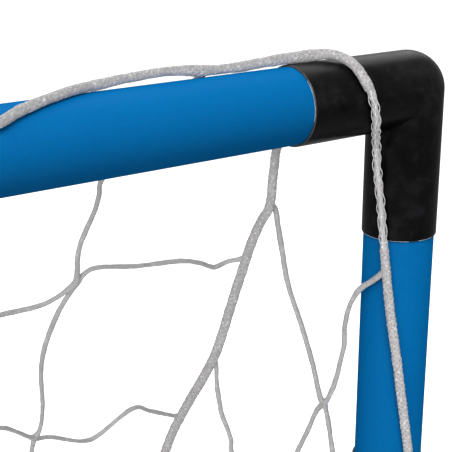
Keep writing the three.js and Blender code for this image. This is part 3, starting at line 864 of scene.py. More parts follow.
def pivot_pin(name):
    half = HINGE_HALF
    adds = [
        cross_rod(-21, 21, 4.0, 40),
        cross_rod(half + 0.3, half + 2.0, 7.0, 48),
        cross_rod(half + 1.9, half + 2.9, 6.4, 48, end_radius=4.2),
        cross_rod(-half - 1.8, -half - 0.3, 6.5, 6),  # hexagonal inner end
    ]
    return solid(name, adds, [cross_rod(half + 2.2, half + 4, 2.2, 6)], ZINC, bevel=0.25)


def lock_button(name):
    adds = [
        cross_rod(8.6, 10.4, 5.2, 40, rise=LOCK_RISE),
        cross_rod(9.5, 22.8, 3.3, 40, rise=LOCK_RISE),
        cross_rod(22.7, 23.6, 3.2, 40, end_radius=2.2, rise=LOCK_RISE),
    ]
    return solid(name, adds, [], RED, bevel=0.3, segments=3)


# stem, builder, body it rides ("" for a body of its own), slot
HINGE_PARTS = (
    ("hinge_base", hinge_base, "ground_frame", "moulded"),
    ("knuckle", knuckle, "front_frame", "moulded"),
    ("pivot_pin", pivot_pin, "ground_frame", "steel"),
    ("fold_lock_button", lock_button, "", "accent"),
)
hinge_pairs = []
for stem, build, _, _ in HINGE_PARTS:
    right_part = build(f"{stem}_right_body")
    hinge_pairs.append((right_part, mirrored(right_part, f"{stem}_left_body")))
for index, (tag, _) in enumerate(SIDES):
    for (stem, _, body, slot), pair in zip(HINGE_PARTS, hinge_pairs):
        done(pair[index], body or f"{stem}_{tag}", f"{stem}_{tag}")

# ---------------------------------------------------------------- snap buttons
# distance from the tube's axis, radius
SNAP_PROFILE = (
    (8.2, 0.0), (8.2, 4.4), (8.4, 4.6), (9.2, 4.6), (9.4, 4.4), (9.4, 3.3), (15.9, 3.3),
    (16.7, 3.22), (17.3, 2.8), (17.7, 2.0), (17.88, 1.0), (17.92, 0.0),
)


def snap_button(name, place, toward):
    place, toward = np.array(place, float), np.array(toward, float)
    ring = circle(toward, [0.3, 0.2, 1.0], 40)
    rings = [place + toward * out + ring * max(radius, 1e-3) for out, radius in SNAP_PROFILE]
    ob = new_mesh(name + "_dome", *skin(np.array(rings)), ZINC)
    sharpen(ob, angle=40)
    done(ob, name, name)


for tag, sign in SIDES:
    for stem, (place, toward) in button_places(sign).items():
        snap_button(f"{stem}_button_{tag}", place, toward)

# ---------------------------------------------------------------- border cord
# Cord axis past the right corner, corner-local x, y, z: along the bar, then down the upright
CORD_POINTS = [
    (-228, -13, 13), (-219, -13.2, 12.8), (-208, -13.4, 12.8), (-198.7, -13.2, 13.1),
    (-194.18, -11.48, 14.31), (-189.47, -9.86, 15.45), (-184.96, -8.38, 16.02),
    (-180.41, -6.84, 16.52), (-175.64, -5.4, 17.02), (-171.11, -3.78, 17.11),
    (-166.41, -1.99, 17.3), (-161.57, -0.34, 17.66), (-156.83, 1.12, 17.89),
    (-151.89, 2.47, 18.12), (-146.95, 3.23, 18.44), (-141.92, 3.68, 18.78),
    (-136.93, 3.86, 18.95), (-131.92, 4.05, 19.23), (-126.91, 4.09, 19.44),
    (-121.91, 4.19, 19.44), (-116.92, 4.08, 19.22), (-112.04, 4.04, 18.79),
    (-107.07, 3.79, 18.21), (-102.07, 3.8, 18.01), (-97.1, 3.65, 17.71), (-92.14, 3.62, 17.69),
    (-87.12, 3.64, 17.86), (-82.09, 3.67, 18.14), (-77.07, 3.61, 18.44), (-72.07, 3.5, 18.61),
    (-67.06, 3.43, 18.9), (-62.09, 3.17, 18.9), (-57.1, 2.86, 18.96), (-52.29, 1.78, 19.24),
    (-47.73, -0.34, 19.62), (-44.13, -3.74, 19.16), (-41.64, -7.87, 17.29),
    (-40.62, -11.83, 14.88), (-39.9, -15.3, 11.4), (-38.6, -17.6, 7.2), (-37.2, -18.9, 2.7),
    (-35.8, -19, -2.1), (-34.1, -17.9, -6.7), (-31.9, -15.8, -10.7), (-29.2, -13.1, -13.9),
    (-26.5, -10.5, -17.2), (-24, -8.2, -20.9), (-22, -6.5, -25.1), (-20.5, -5.3, -29.7),
    (-19.5, -5, -34.6), (-18.8, -5.2, -39.6), (-18.3, -5.8, -44.5), (-18, -6.4, -49.5),
    (-17.8, -7, -54.4), (-17.5, -7.5, -59.4), (-17.3, -8.1, -64.3), (-16.8, -8.5, -69.3),
    (-16.3, -8.8, -74.3), (-15.9, -9.3, -79.2), (-15.5, -9.8, -84.2), (-15, -10.3, -89.1),
    (-14.6, -10.9, -94.1), (-14.2, -11.5, -99), (-13.6, -12.1, -104), (-13, -12.7, -108.9),
    (-12.4, -13.3, -113.8), (-11.8, -13.9, -118.7), (-11.1, -14.4, -123.7),
    (-10.5, -14.9, -128.6), (-9.8, -15.3, -133.5), (-9.2, -15.7, -138.5), (-8.4, -16.1, -143.4),
    (-7.7, -16.5, -148.3), (-6.9, -16.8, -153.2), (-6.1, -17.1, -158.2), (-5.3, -17.4, -163.1),
    (-4.5, -17.6, -168), (-3.9, -17.9, -173), (-3.3, -18.1, -179),
]
# Cord thickness over the bar: corner-local x, share of the full size
CORD_FATNESS = np.array([
    (-228, 0.95), (-200, 0.92), (-187, 0.92), (-181, 0.88), (-175, 0.86), (-166, 0.84),
    (-161, 0.87), (-155, 0.96), (-150, 0.95), (-146, 0.88), (-140, 0.86), (-127, 0.83),
    (-121, 0.86), (-116, 0.93), (-112, 1.06), (-107, 1.12), (-102, 0.96), (-97, 0.9),
    (-92, 0.92), (-87, 0.99), (-72, 1.04), (-66, 1.07), (-61, 1.18), (-57, 1.26),
    (-52.5, 1.18), (-48, 1), (-44, 0.95), (-41.7, 0.98), (-40, 1), (-36, 0.94),
])
# The plain run on the bar: x from the middle, stray sideways
BAR_RUN = ((655, 0.2), (620, 0.0), (540, 0.3), (430, -0.2), (300, 0.25), (160, -0.2), (0, 0.0))
# The plain run on the upright: z from the floor, x from the upright's axis
POST_RUN = (
    (1008, -2.3), (996, -1.6), (860, 0.8), (700, -1.0), (520, 0.6), (360, -0.9), (220, 0.4),
    (109, 0.0),
)


def stand_off(path, clearance):
    """Pushes the path out of the crossbar, the upright and their corner."""
    path = path.copy()
    for _ in range(30):
        for length_axis, across in ((0, [1, 2]), (2, [0, 1])):
            reach = path[:, length_axis]
            least = np.where(reach < -ARM, TUBE_R, CORNER_R) + clearance
            away = np.hypot(*path[:, across].T)
            push = np.where((reach < 0) & (away < least), least / away, 1.0)
            path[:, across] *= push[:, None]
    return path


near_cord = stand_off(smooth_curve(CORD_POINTS, 1.0), CORD_R + 0.2)
near_cord = smooth_curve(near_cord[::4], 0.7)
DIAGONAL = CORD_OFF * math.sqrt(0.5)  # on the bar the cord lies forward and up in equal parts
bar_points = [(x - POST_X, stray - DIAGONAL, DIAGONAL + stray * 0.4) for x, stray in BAR_RUN]
bar_cord = smooth_curve(np.vstack([near_cord[:1], bar_points]), 1.6)
post_points = [(x, -CORD_OFF, z - BAR_Z) for z, x in POST_RUN]
post_cord = smooth_curve(np.vstack([near_cord[-1:], post_points]), 1.6)


def knitted_cord(tag, path):
    edge, middle = knit(path, seed=3)
    return [
        new_mesh(f"border_cord_corner_{tag}", *middle, CORD),
        # the edge strands take the painted highlight colour
        new_mesh(f"border_cord_edge_corner_{tag}", *edge, EDGE_HIGHLIGHT),
    ]


def front_cord(path):
    size = 1 + 0.1 * np.clip((BAR_Z - path[:, 2] - ARM) / 30, 0, 1)
    return filled_braid(path, 2.06 * size, 1.66 * size, strands=4, pitch=10.0, width=1.55,
                        thick=0.42, weave=0.17, seed=13, sides=8)


def over_cord(path):
    size = np.interp(np.abs(path[:, 0]) - POST_X, CORD_FATNESS[:, 0], CORD_FATNESS[:, 1])
    return filled_braid(path, 2.16 * size, 1.86 * size, thick=0.3, weave=0.09, seed=7, sides=8)


def plain_cord(path, seed):
    return filled_braid(path, 2.16, 1.78, thick=0.36, weave=0.12, seed=seed, sides=5)


turn_at = int(np.argmax((near_cord[:, 0] > -60) & (near_cord[:, 2] < 9.0)))
mouth_at = int(np.argmax(near_cord[:, 2] < -ARM - 5))
for tag, sign in SIDES:
    def placed(path):
        return (path + TOP) * mirror_factor(sign)

    knitted = knitted_cord(tag, placed(near_cord[turn_at - 4 : mouth_at + 3]))
    front, over, bar, post = (
        new_mesh(f"border_cord_{part}_{tag}", *shape, CORD)
        for part, shape in (
            ("front", front_cord(placed(near_cord[mouth_at - 3 :]))),
            ("over", over_cord(placed(near_cord[: turn_at + 4]))),
            ("bar", plain_cord(placed(bar_cord), seed=5)),
            ("post", plain_cord(placed(post_cord), seed=9)),
        )
    )
    for ob in knitted + [over, bar, post, front]:
        done(ob, "front_frame", "border_cord")

# ---------------------------------------------------------------- bottom cord
# Outside the side rail, round the rear corner, then behind the rear bar to the middle
CORNER_CORD = CORNER_R + 0.4 + CORD_R
low_points = [(POST_X + CORD_OFF, y, RAIL_Z) for y in (POST_Y + 70, -60, 100, REAR_Y - ARM - 12)]
low_points.append((POST_X + CORNER_CORD, REAR_Y - ARM, RAIL_Z))
for angle in np.linspace(0, math.pi / 2, 13):
    x, y = CORNER_CORD * math.cos(angle), CORNER_CORD * math.sin(angle)
    low_points.append((POST_X + x, REAR_Y + y, RAIL_Z))
low_points.append((POST_X - ARM, REAR_Y + CORNER_CORD, RAIL_Z))
low_points += [(x, REAR_Y + CORD_OFF, RAIL_Z) for x in (POST_X - ARM - 12, 400, 0)]
low_cord = smooth_curve(low_points, 2.0)
for tag, sign in SIDES:
    shape = filled_braid(low_cord * mirror_factor(sign), CORD_R + 0.2, 1.72, core_seed=22,
                         thick=0.42, weave=0.16, seed=21, sides=5)
    done(new_mesh(f"bottom_cord_{tag}", *shape, CORD), "ground_frame", "bottom_cord")


# ---------------------------------------------------------------- seam ropes
def back_y(z):
    """The sloping plane of the back net, corner-local."""
    return 16 - 0.5 * z


# Upper part of the rope, corner-local x, y, z
ROPE_START = [
    (-53.5, 7.6, 17.6), (-51.5, 13.5, 13.6), (-49.5, 18.3, 6.2), (-48.2, 20.6, -3),
    (-47.3, 25, -14),
]
# Then at x = -ROPE_IN: y, z
ROPE_UPPER = (
    (31.4, -27.4), (32.8, -35.9), (33.8, -41.7), (34.6, -50.2), (36.6, -56.4), (40.3, -61.1),
    (44.3, -67.1), (48.2, -74.1), (51.5, -81), (54.4, -87.8), (57.5, -94.8), (60.7, -102),
    (63.6, -109.1), (66.8, -116.5), (69.7, -123.9), (72.9, -131.4), (76.5, -139.4),
    (80.9, -147.8), (86.7, -156.6), (92.8, -165.8), (99.8, -175.6), (106.3, -185.2),
    (113, -195.2), (119.4, -205.6), (124.4, -215.2), (127.6, -221.5),
)
# Lower part: z, stray from the back plane in y, stray in x
ROPE_LOWER = (
    (-300, 6, 0), (-420, -3, 1), (-560, 4, 0), (-700, -2, 0), (-840, 3, 1), (-960, 0, 2),
    (-1060, 0, 6), (-1130, -2, 12),
)
ROPE_END = [
    (-30, 577, -1166), (-28, 588, -1168.5), (-26, 602, -1170), (-24, 613, -1178),
    (-24, 615.4, -1186),
]
rope_points = ROPE_START + [(-ROPE_IN, y, z) for y, z in ROPE_UPPER]
rope_points += [(-ROPE_IN + dx, back_y(z) + dy, z) for z, dy, dx in ROPE_LOWER] + ROPE_END
rope_path = smooth_curve(rope_points, 1.0)
rope_cut = int(np.argmin(np.abs(rope_path[:, 2] + 235) + (rope_path[:, 1] < 60) * 999))


def rope_at(z):
    """The rope's axis at a height below the crossbar, corner-local."""
    hanging = rope_path[20:]
    x, y = (np.interp(-z, -hanging[:, 2], hanging[:, k]) for k in range(2))
    return np.array([x, y, z])


# depth below the crossbar, share of the rope's full size
ROPE_DEPTHS, ROPE_SIZES = [30, 50, 80, 150, 235, 320], [0.88, 0.92, 1.0, 1.08, 1.1, 1.0]
for tag, sign in SIDES:
    for part, path, sides, step in (
        ("near", rope_path[: rope_cut + 1], 8, 0.8),
        ("far", rope_path[rope_cut:], 5, 1.8),
    ):
        path = (resample(path, step) + TOP) * mirror_factor(sign)
        size = np.interp(BAR_Z - path[:, 2], ROPE_DEPTHS, ROPE_SIZES)
        shape = filled_braid(path, 2.45 * size, 1.95 * size, core_seed=43, pitch=12.5,
                             width=1.7, thick=0.42, weave=0.15, seed=41, sides=sides)
        fan(new_mesh(f"seam_rope_{tag}_{part}", *shape, ROPE), f"seam_rope_{tag}")

# ---------------------------------------------------------------- net twine
# step along the twine, sides, radius
BACK_FINE, BACK_COARSE = (0.9, 12, TWINE_R), (3.2, 6, TWINE_R)
SIDE_FINE, SIDE_COARSE = (0.9, 12, TWINE_R * 1.12), (3.0, 6, TWINE_R)


def add_twine(parts, points, knots, seed, detail):
    step, sides, radius = detail
    path = smooth_curve(points, step) + TOP
    parts.append(twine(path, radius, sides, [knot + TOP for knot in knots], seed))


def between(a, b, seed, slack=5.0, count=2):
    """Points between two junctions: the twine wanders and hangs a little."""
    rng = np.random.default_rng(seed)
    length = np.linalg.norm(b - a)
    bow = rng.normal(0, slack, 3) * np.array([1, 0.8, 1])
    hang = 0.035 * length * (abs(b[2] - a[2]) < 0.6 * length)
    points = []
    for i in range(1, count + 1):
        t = i / (count + 1)
        arch = math.sin(math.pi * t)
        stray = rng.normal(0, slack * 0.35, 3)
        points.append(a + (b - a) * t + bow * arch + stray - np.array([0, 0, hang * arch]))
    return points


def over_tube(centre, toward, degrees):
    """Points on a tube, by angle from its top towards a level direction."""
    up = np.array([0, 0, 1])
    return [
        np.array(centre) + WRAP_R * (math.sin(a) * np.array(toward) + math.cos(a) * up)
        for a in np.radians(degrees)
    ]


# ---------------------------------------------------------------- back net
ROPE_SPAN = 2 * (POST_X - ROPE_IN)
COLUMN_GAP = (ROPE_SPAN - 182) / 15
COLUMNS = [-ROPE_IN] + [-138.0 - COLUMN_GAP * i for i in range(16)] + [-ROPE_IN - ROPE_SPAN]
ROWS = [-77.5 - 90.6 * k for k in range(12)]
LAST_COLUMN = len(COLUMNS) - 1
# Measured twines by the right corner, x, y, z between junctions; column 1 starts at the cord
COLUMN1_START = [
    (-103.5, 4.6, 17.2), (-104.5, 9.4, 14.2), (-107.5, 14.0, 9.7), (-113.0, 17.2, 3.2),
    (-122.0, 17.6, -4.6), (-131.5, 21.5, -15.5), (-137.8, 29.1, -26.3), (-137.0, 32.5, -33.0),
    (-137.1, 36.1, -40.2), (-138.5, 39.9, -47.7), (-139.9, 44.0, -55.9), (-139.9, 47.0, -62.1),
    (-137.3, 53.7, -75.4),
]
COLUMN1_NEXT = [
    (-138.8, 56.7, -81.5), (-142.4, 61.8, -91.5), (-145.2, 71.4, -110.8),
    (-144.2, 78.8, -125.6), (-137.8, 92.8, -153.5), (-136.7, 100.1, -168.2),
]
# For rows 0 and 1: from column 0 to 1, then from 1 to 2
ROW_STARTS = (
    (
        [(-53.8, 59.5, -86.8), (-60.2, 60.1, -88.2), (-70.5, 57.6, -83.3), (-81.3, 55.8, -79.5),
         (-107.0, 54.0, -76.0), (-130.8, 51.8, -71.6), (-135.1, 53.2, -74.3)],
        [(-145.6, 57.7, -83.4), (-151.8, 58.8, -85.5), (-171.3, 58.7, -85.4)],
    ),
    (
        [(-49.6, 111.8, -191.5), (-69.6, 106.1, -180.1), (-81.3, 102.8, -173.5),
         (-101.5, 109.7, -187.4), (-108.7, 109.3, -186.7), (-129.3, 103.7, -175.4)],
        [(-151.0, 97.2, -162.4), (-159.1, 94.6, -157.2)],
    ),
)


def back_joint(column, row):
    """A junction: on a seam rope at the ends, else on the sagging back plane."""
    x, z = COLUMNS[column], ROWS[row]
    rng = np.random.default_rng(1000 + 40 * column + row)
    dx, dz, out = rng.normal(0, 4.2), rng.normal(0, 4.2), rng.normal(0, 4.0)
    if column == 0:
        return rope_at(z + dz)
    if column == LAST_COLUMN:
        return rope_at(z + dz) * mirror_factor(-1) - np.array([2 * POST_X, 0, 0])
    u = (x + ROPE_IN) / -ROPE_SPAN
    v = min(max((z + 26) / -1140.0, 0), 1)
    sag = 22 * math.sin(math.pi * u) ** 0.6 * math.sin(math.pi * v)
    x, z = x + dx, z + dz
    outward = np.array([0, 1.0, 0.5]) / math.hypot(1, 0.5)
    return np.array([x, back_y(z), z]) + outward * (out - sag)


joints = {place: back_joint(*place) for place in product(range(len(COLUMNS)), range(len(ROWS)))}
joints.update({
    (0, 0): rope_at(-84.3),
    (0, 1): rope_at(-192.0),
    (1, 0): np.array([-137.2, 54.8, -77.5]),
    (1, 1): np.array([-138.6, 102.1, -172.3]),
    (2, 0): np.array([-236, 57.5, -83.5]),
    (2, 1): np.array([-238, 90, -152]),
})


def over_rear_bar(x):
    """Over the rear bar to the bottom cord behind it."""
    centre = np.array([x, REAR_Y - POST_Y, DROP])
    points = over_tube(centre, BACKWARD, [-38, -10, 20, 50, 78])
    return points + [centre + np.array([0, CORD_OFF, 0])]


def back_column(column, upper, lower):
    seed = 5000 + 97 * column
    line = [joints[column, row] for row in range(len(ROWS))]
    if column == 1:
        points = [*COLUMN1_START, line[0], *COLUMN1_NEXT, line[1]]
    else:
        # from the border cord over the back of the crossbar
        x = line[0][0] + np.random.default_rng(seed).normal(0, 5)
        points = [(x, -8.0 if column > 2 else -6.0, 16.5)]
        points += over_tube((x, 0, 0), BACKWARD, [24, 48, 72, 96])
        points += between(np.array([x, 17, -6]), line[0], seed, slack=4)
        points += [line[0], *between(line[0], line[1], seed + 1), line[1]]
    add_twine(upper, points, line[:2], seed, BACK_FINE if column <= 2 else BACK_COARSE)
    points = [line[1]]
    for row in range(2, len(ROWS)):
        points += [*between(line[row - 1], line[row], seed + row), line[row]]
    tail = over_rear_bar(line[-1][0])
    points += between(line[-1], tail[0], seed + 60, slack=3, count=1) + tail
    add_twine(lower, points, line[1:], seed + 7, BACK_COARSE)


def back_row(row, parts):
    seed = 9000 + 131 * row
    line = [joints[column, row] for column in range(len(COLUMNS))]
    start = 0
    if row < 2:
        first, second = ROW_STARTS[row]
        points = [line[0], *first, line[1], *second, line[2]]
        add_twine(parts, points, line[:3], seed, BACK_FINE)
        start = 2
    points = [line[start]]
    for column in range(start + 1, len(COLUMNS)):
        points += between(line[column - 1], line[column], seed + column)
        points.append(line[column])
    add_twine(parts, points, line[start:], seed + 3, BACK_COARSE)


back_upper, back_lower = [], []
for column in range(1, LAST_COLUMN):
    back_column(column, back_upper, back_lower)
for row in range(len(ROWS)):
    back_row(row, back_lower if row > 1 else back_upper)
for part, twines in (("upper", back_upper), ("lower", back_lower)):
    fan(new_mesh(f"net_back_{part}", *join(twines), NET), "net_back")

# ---------------------------------------------------------------- side nets
NET_FLOOR = DROP + 26
# Measured twines by the right corner, corner-local x, y, z
DOWN_BACK_START = [
    (-17.3, -5.6, -82.8), (-17.9, -1.2, -86.7), (-19.5, 3.3, -90.9), (-21.1, 7.8, -99.8),
    (-21.8, 10.1, -111.4), (-21.5, 10.4, -120.7), (-22.1, 11.6, -128.1), (-22.7, 14.5, -141.0),
    (-23.7, 18.7, -151.8),
]
DOWN_BACK_NEXT = [
    (-25.1, 24.1, -159.0), (-26.3, 29.1, -171.6), (-27.3, 35.8, -186.5), (-30.0, 45.0, -212.0),
]
DOWN_FRONT_START = [
    (-42.3, 37.7, -56.6), (-40.2, 37.8, -65.7), (-37.6, 37.8, -78.0), (-34.4, 36.8, -95.4),
    (-30.0, 31.1, -116.5), (-26.8, 26.1, -135.3), (-24.6, 22.1, -152.4),
]
DOWN_FRONT_NEXT = [
    (-23.3, 18.0, -162.4), (-21.9, 15.4, -179.0), (-20.0, 9.0, -205.0), (-18.2, 1.0, -232.0),
]
DOWN_FRONT_SECOND = [
    (-43.9, 82.3, -150.7), (-42.6, 83.3, -163.8), (-41.5, 83.0, -172.1), (-40.1, 82.3, -181.5),
    (-39.0, 80.2, -186.8), (-37.7, 77.5, -194.8), (-37.2, 77.7, -202.2), (-35.0, 68.0, -222.0),
]
CELL_Y, CELL_Z = 35, 86  # half a mesh diamond
FIRST_Y, FIRST_Z = 20.5, -154.0


def grid_place(i, j):
    return FIRST_Y + CELL_Y * i, FIRST_Z - CELL_Z * j


def node_at(i, j):
    """A junction of the side net; it leans in from the upright to the seam rope."""
    if (i, j) == (0, 0):
        return np.array([-24.0, 20.5, -154.1])
    if (i, j) == (1, 1):
        return np.array([-33.0, 55.0, -241.0])
    y, z = grid_place(i, j)
    rng = np.random.default_rng(7000 + 31 * (i + 3) + 577 * j)
    dy, dz, dx = rng.normal(0, 3.2), rng.normal(0, 4.0), rng.normal(0, 3.0)
    y, z = y + dy, z + dz
    back_share = min(max(y / max(back_y(z), 20.0), 0), 1)
    height_share = min(max((z - DROP - 10) / 220.0, 0), 1)
    return np.array([-19 - 28 * back_share * height_share + dx, y, z])


def is_inside(i, j):
    y, z = grid_place(i, j)
    return z > NET_FLOOR + 20 and y < back_y(z) - 14


upright_cord = np.vstack([near_cord, post_cord])
upright_cord = upright_cord[upright_cord[:, 2] < -22]
upright_cord = upright_cord[np.argsort(-upright_cord[:, 2])]


def cord_at(z):
    """The border cord's axis on the upright at a height below the crossbar."""
    x, y = (np.interp(-z, -upright_cord[:, 2], upright_cord[:, k]) for k in range(2))
    return np.array([x, y, z])


def round_post(z, toward_z):
    """From the border cord round the inner side of the upright, starting at height z."""
    cord = cord_at(z)
    start = math.atan2(cord[0], -cord[1])  # angles run from the front
    points = [cord]
    for t in (0.3, 0.55, 0.8, 1.0):
        angle = start + (math.radians(-112) - start) * t
        x, y = 17.2 * math.sin(angle), -17.2 * math.cos(angle)
        points.append(np.array([x, y, z + (toward_z - z) * 0.35 * t]))
    return points


def over_rail(y):
    """Over the side rail to the bottom cord outside it."""
    centre = np.array([0, max(y, 40), DROP])
    points = over_tube(centre, (-1, 0, 0), [62, 35, 5, -30, -62])
    return points + [centre + np.array([CORD_OFF, 0, 0])]


def thread(points, nodes, seed, seed_i, seed_j):
    """Leads the twine on through the nodes."""
    for i, j in nodes:
        node = node_at(i, j)
        points += between(points[-1], node, seed + seed_i * i + seed_j * j, slack=3.5)
        points.append(node)


def twine_down_back(row, parts):
    """From the border cord down and back to the side rail."""
    nodes = []
    while is_inside(len(nodes), row + len(nodes)):
        nodes.append((len(nodes), row + len(nodes)))
    knots = [node_at(*node) for node in nodes]
    if row == 0:
        points = [cord_at(-78.2), *DOWN_BACK_START, knots[0], *DOWN_BACK_NEXT, knots[1]]
        add_twine(parts, points, knots[:2], 300, SIDE_FINE)
        points = [knots[1]]
        nodes = nodes[2:]
    else:
        start_z = FIRST_Z - CELL_Z * (row - 1) - 10
        points = round_post(start_z, knots[0][2] if knots else start_z - 60)
    thread(points, nodes, 700, 13, 71)
    last = points[-1]
    tail = over_rail(min(last[1] + 0.4 * max(last[2] - NET_FLOOR, 0), 560))
    points += between(last, tail[0], 800 + row, slack=2.5, count=1) + tail
    add_twine(parts, points, knots, 340 + row, SIDE_COARSE)


def rope_start(y, z):
    """Follows the mesh slope up and back from a node until it meets the seam rope."""
    up = z
    for _ in range(30):
        up += 3
        if y + (up - z) * CELL_Y / CELL_Z > rope_at(up)[1] - 1:
            break
    return rope_at(up)


def twine_down_front(line, parts):
    """From the seam rope down and forward to the border cord or the side rail."""
    if line == 0:
        knot = node_at(0, 0)
        points = [rope_at(-54.0), *DOWN_FRONT_START, knot, *DOWN_FRONT_NEXT]
        points += round_post(-256.0, -250.0)[::-1]
        add_twine(parts, points, [knot], 410, SIDE_FINE)
        return
    if line == 2:
        knot = node_at(1, 1)
        add_twine(parts, [rope_at(-146.0), *DOWN_FRONT_SECOND, knot], [knot], 420, SIDE_FINE)
        nodes = [(0, 2)]
        points = [knot]
    else:
        highest = min(line, 20)
        nodes = [(i, line - i) for i in range(highest, -1, -1) if is_inside(i, line - i)]
        points = [rope_start(*node_at(*nodes[0])[1:])]
    thread(points, nodes, 900, 17, 61)
    last = points[-1]
    if last[1] < 60 and last[2] - CELL_Z > NET_FLOOR + 30:
        z = last[2] - 76
        tail = round_post(z, z + 20)[::-1]
        seed = 950 + line
    else:
        tail = over_rail(last[1] - 0.4 * (last[2] - NET_FLOOR))
        seed = 960 + line
    points += between(last, tail[0], seed, slack=2.0, count=1) + tail
    knots = [node_at(*node) for node in nodes]
    add_twine(parts, points, knots, 440 + line, SIDE_COARSE)


side_twines = []
for row in range(0, 13, 2):
    twine_down_back(row, side_twines)
for line in range(0, 22, 2):
    twine_down_front(line, side_twines)
side_points, side_faces = join(side_twines)
for tag, sign in SIDES:
    faces = side_faces if sign > 0 else [f[:, ::-1] for f in side_faces]
    ob = new_mesh(f"net_side_{tag}_twine", side_points * mirror_factor(sign), faces, NET)
    fan(ob, f"net_side_{tag}")

# ---------------------------------------------------------------- straps
STRAP_HALF, STRAP_THICK = 12.5, 0.95


def strap_path(cord_angle):
    """Loop pulled tight round tube and cord, going on past its start with the end on top.
    Returns the points, their outward normals and the layer, from 0 below to 1 on top."""
    count, overlap, ramp = 120, 24, 5

    def ring(x, y, radius, sides):
        angles = [i / sides * 2 * math.pi for i in range(sides)]
        return [(x + radius * math.cos(a), y + radius * math.sin(a)) for a in angles]

    def half_hull(points):
        hull = []
        for q in points:
            while len(hull) > 1:
                (ax, ay), (bx, by) = hull[-2:]
                if (bx - ax) * (q[1] - ay) - (by - ay) * (q[0] - ax) > 1e-9:
                    break
                hull.pop()
            hull.append(q)
        return hull[:-1]

    cord_x, cord_y = CORD_OFF * math.cos(cord_angle), CORD_OFF * math.sin(cord_angle)
    outline = ring(0, 0, TUBE_R + 0.25, 240) + ring(cord_x, cord_y, CORD_R + 0.2, 60)
    outline.sort()
    hull = np.array(half_hull(outline) + half_hull(outline[::-1]))
    hull = np.vstack([hull, hull[:1]])
    along = travel(hull)
    places = np.linspace(0, along[-1], count, endpoint=False)
    loop = np.stack([np.interp(places, along, hull[:, k]) for k in range(2)], 1)
    # start well away from the cord
    start_angle = cord_angle + 2.2
    start = int(np.argmax(loop @ np.array([math.cos(start_angle), math.sin(start_angle)])))
    loop = np.roll(loop, -start, axis=0)
    tangent = unit(np.roll(loop, -1, axis=0) - np.roll(loop, 1, axis=0))
    normal = np.stack([tangent[:, 1], -tangent[:, 0]], 1)
    layer = np.zeros(count + overlap)
    layer[count:] = 1.0
    layer[count - ramp : count] = np.linspace(0, 1, ramp + 1)[:-1]
    return np.vstack([loop, loop[:overlap]]), np.vstack([normal, normal[:overlap]]), layer


def strap_section():
    """Section of the tape: place across, height; a low groove runs inside each edge."""
    half, thick = STRAP_HALF, STRAP_THICK
    edge = [(half, 0.12), (half, thick - 0.2), (half - 0.5, thick - 0.02)]
    edge += [(half - 1.6, thick - 0.02), (half - 1.9, thick - 0.16), (half - 2.2, thick)]
    ribs = enumerate(np.linspace(-half + 3, half - 3, 9))
    section = [(-x, height) for x, height in edge]
    section += [(x, thick + 0.03 * (k % 2)) for k, x in ribs]
    return section + edge[::-1] + [(half - 0.4, 0.0), (-half + 0.4, 0.0)]


def strap(name, centre, first, second, cord_angle, body):
    """Strap round a tube; the cord lies at an angle from first towards second."""
    centre, first, second = (np.array(v, float) for v in (centre, first, second))
    across = np.cross(first, second)
    rings = []
    for place, out, layer in zip(*strap_path(cord_angle)):
        base = centre + place[0] * first + place[1] * second
        outward = out[0] * first + out[1] * second
        lift = 0.02 + layer * (STRAP_THICK + 0.05)
        rings.append([base + across * x + outward * (lift + h) for x, h in strap_section()])
    ob = new_mesh(name + "_tape", *skin(np.array(rings)), STRAP)
    bm = bmesh.new()
    bm.from_mesh(ob.data)
    bmesh.ops.recalc_face_normals(bm, faces=bm.faces)
    bm.to_mesh(ob.data)
    bm.free()
    done(ob, body, name)


X, Y, Z = (1, 0, 0), (0, 1, 0), (0, 0, 1)
UPPER_STRAP_Z = BAR_Z - 180.2 - STRAP_HALF
for tag, sign in SIDES:
    for level, z, lean in (
        ("upper", UPPER_STRAP_Z, 0.13), ("middle", 620, 0.0), ("lower", 215, 0.0)
    ):
        strap(f"strap_upright_{level}_{tag}", (sign * POST_X, POST_Y, z), X, Y,
              -math.pi / 2 - sign * lean, "front_frame")
    strap(f"strap_rail_{tag}", (sign * POST_X, 10, RAIL_Z), Z, X, sign * math.pi / 2,
          "ground_frame")
    for part, x in (("outer", 600), ("inner", 200)):
        strap(f"strap_crossbar_{part}_{tag}", (sign * x, POST_Y, BAR_Z), Y, Z,
              math.radians(135), "front_frame")
    strap(f"strap_rear_{tag}", (sign * 400, REAR_Y, RAIL_Z), Y, Z, 0.0, "ground_frame")

# ---------------------------------------------------------------- sleeves
# These stay as packed, with a plated finish
for name in ("crossbar_sleeve", "rear_bar_sleeve"):
    sleeve = frame["nodes"][name]
    if not sleeve.material_slots:
        sleeve.data.materials.append(ZINC)
    for slot in sleeve.material_slots:
        slot.material = ZINC


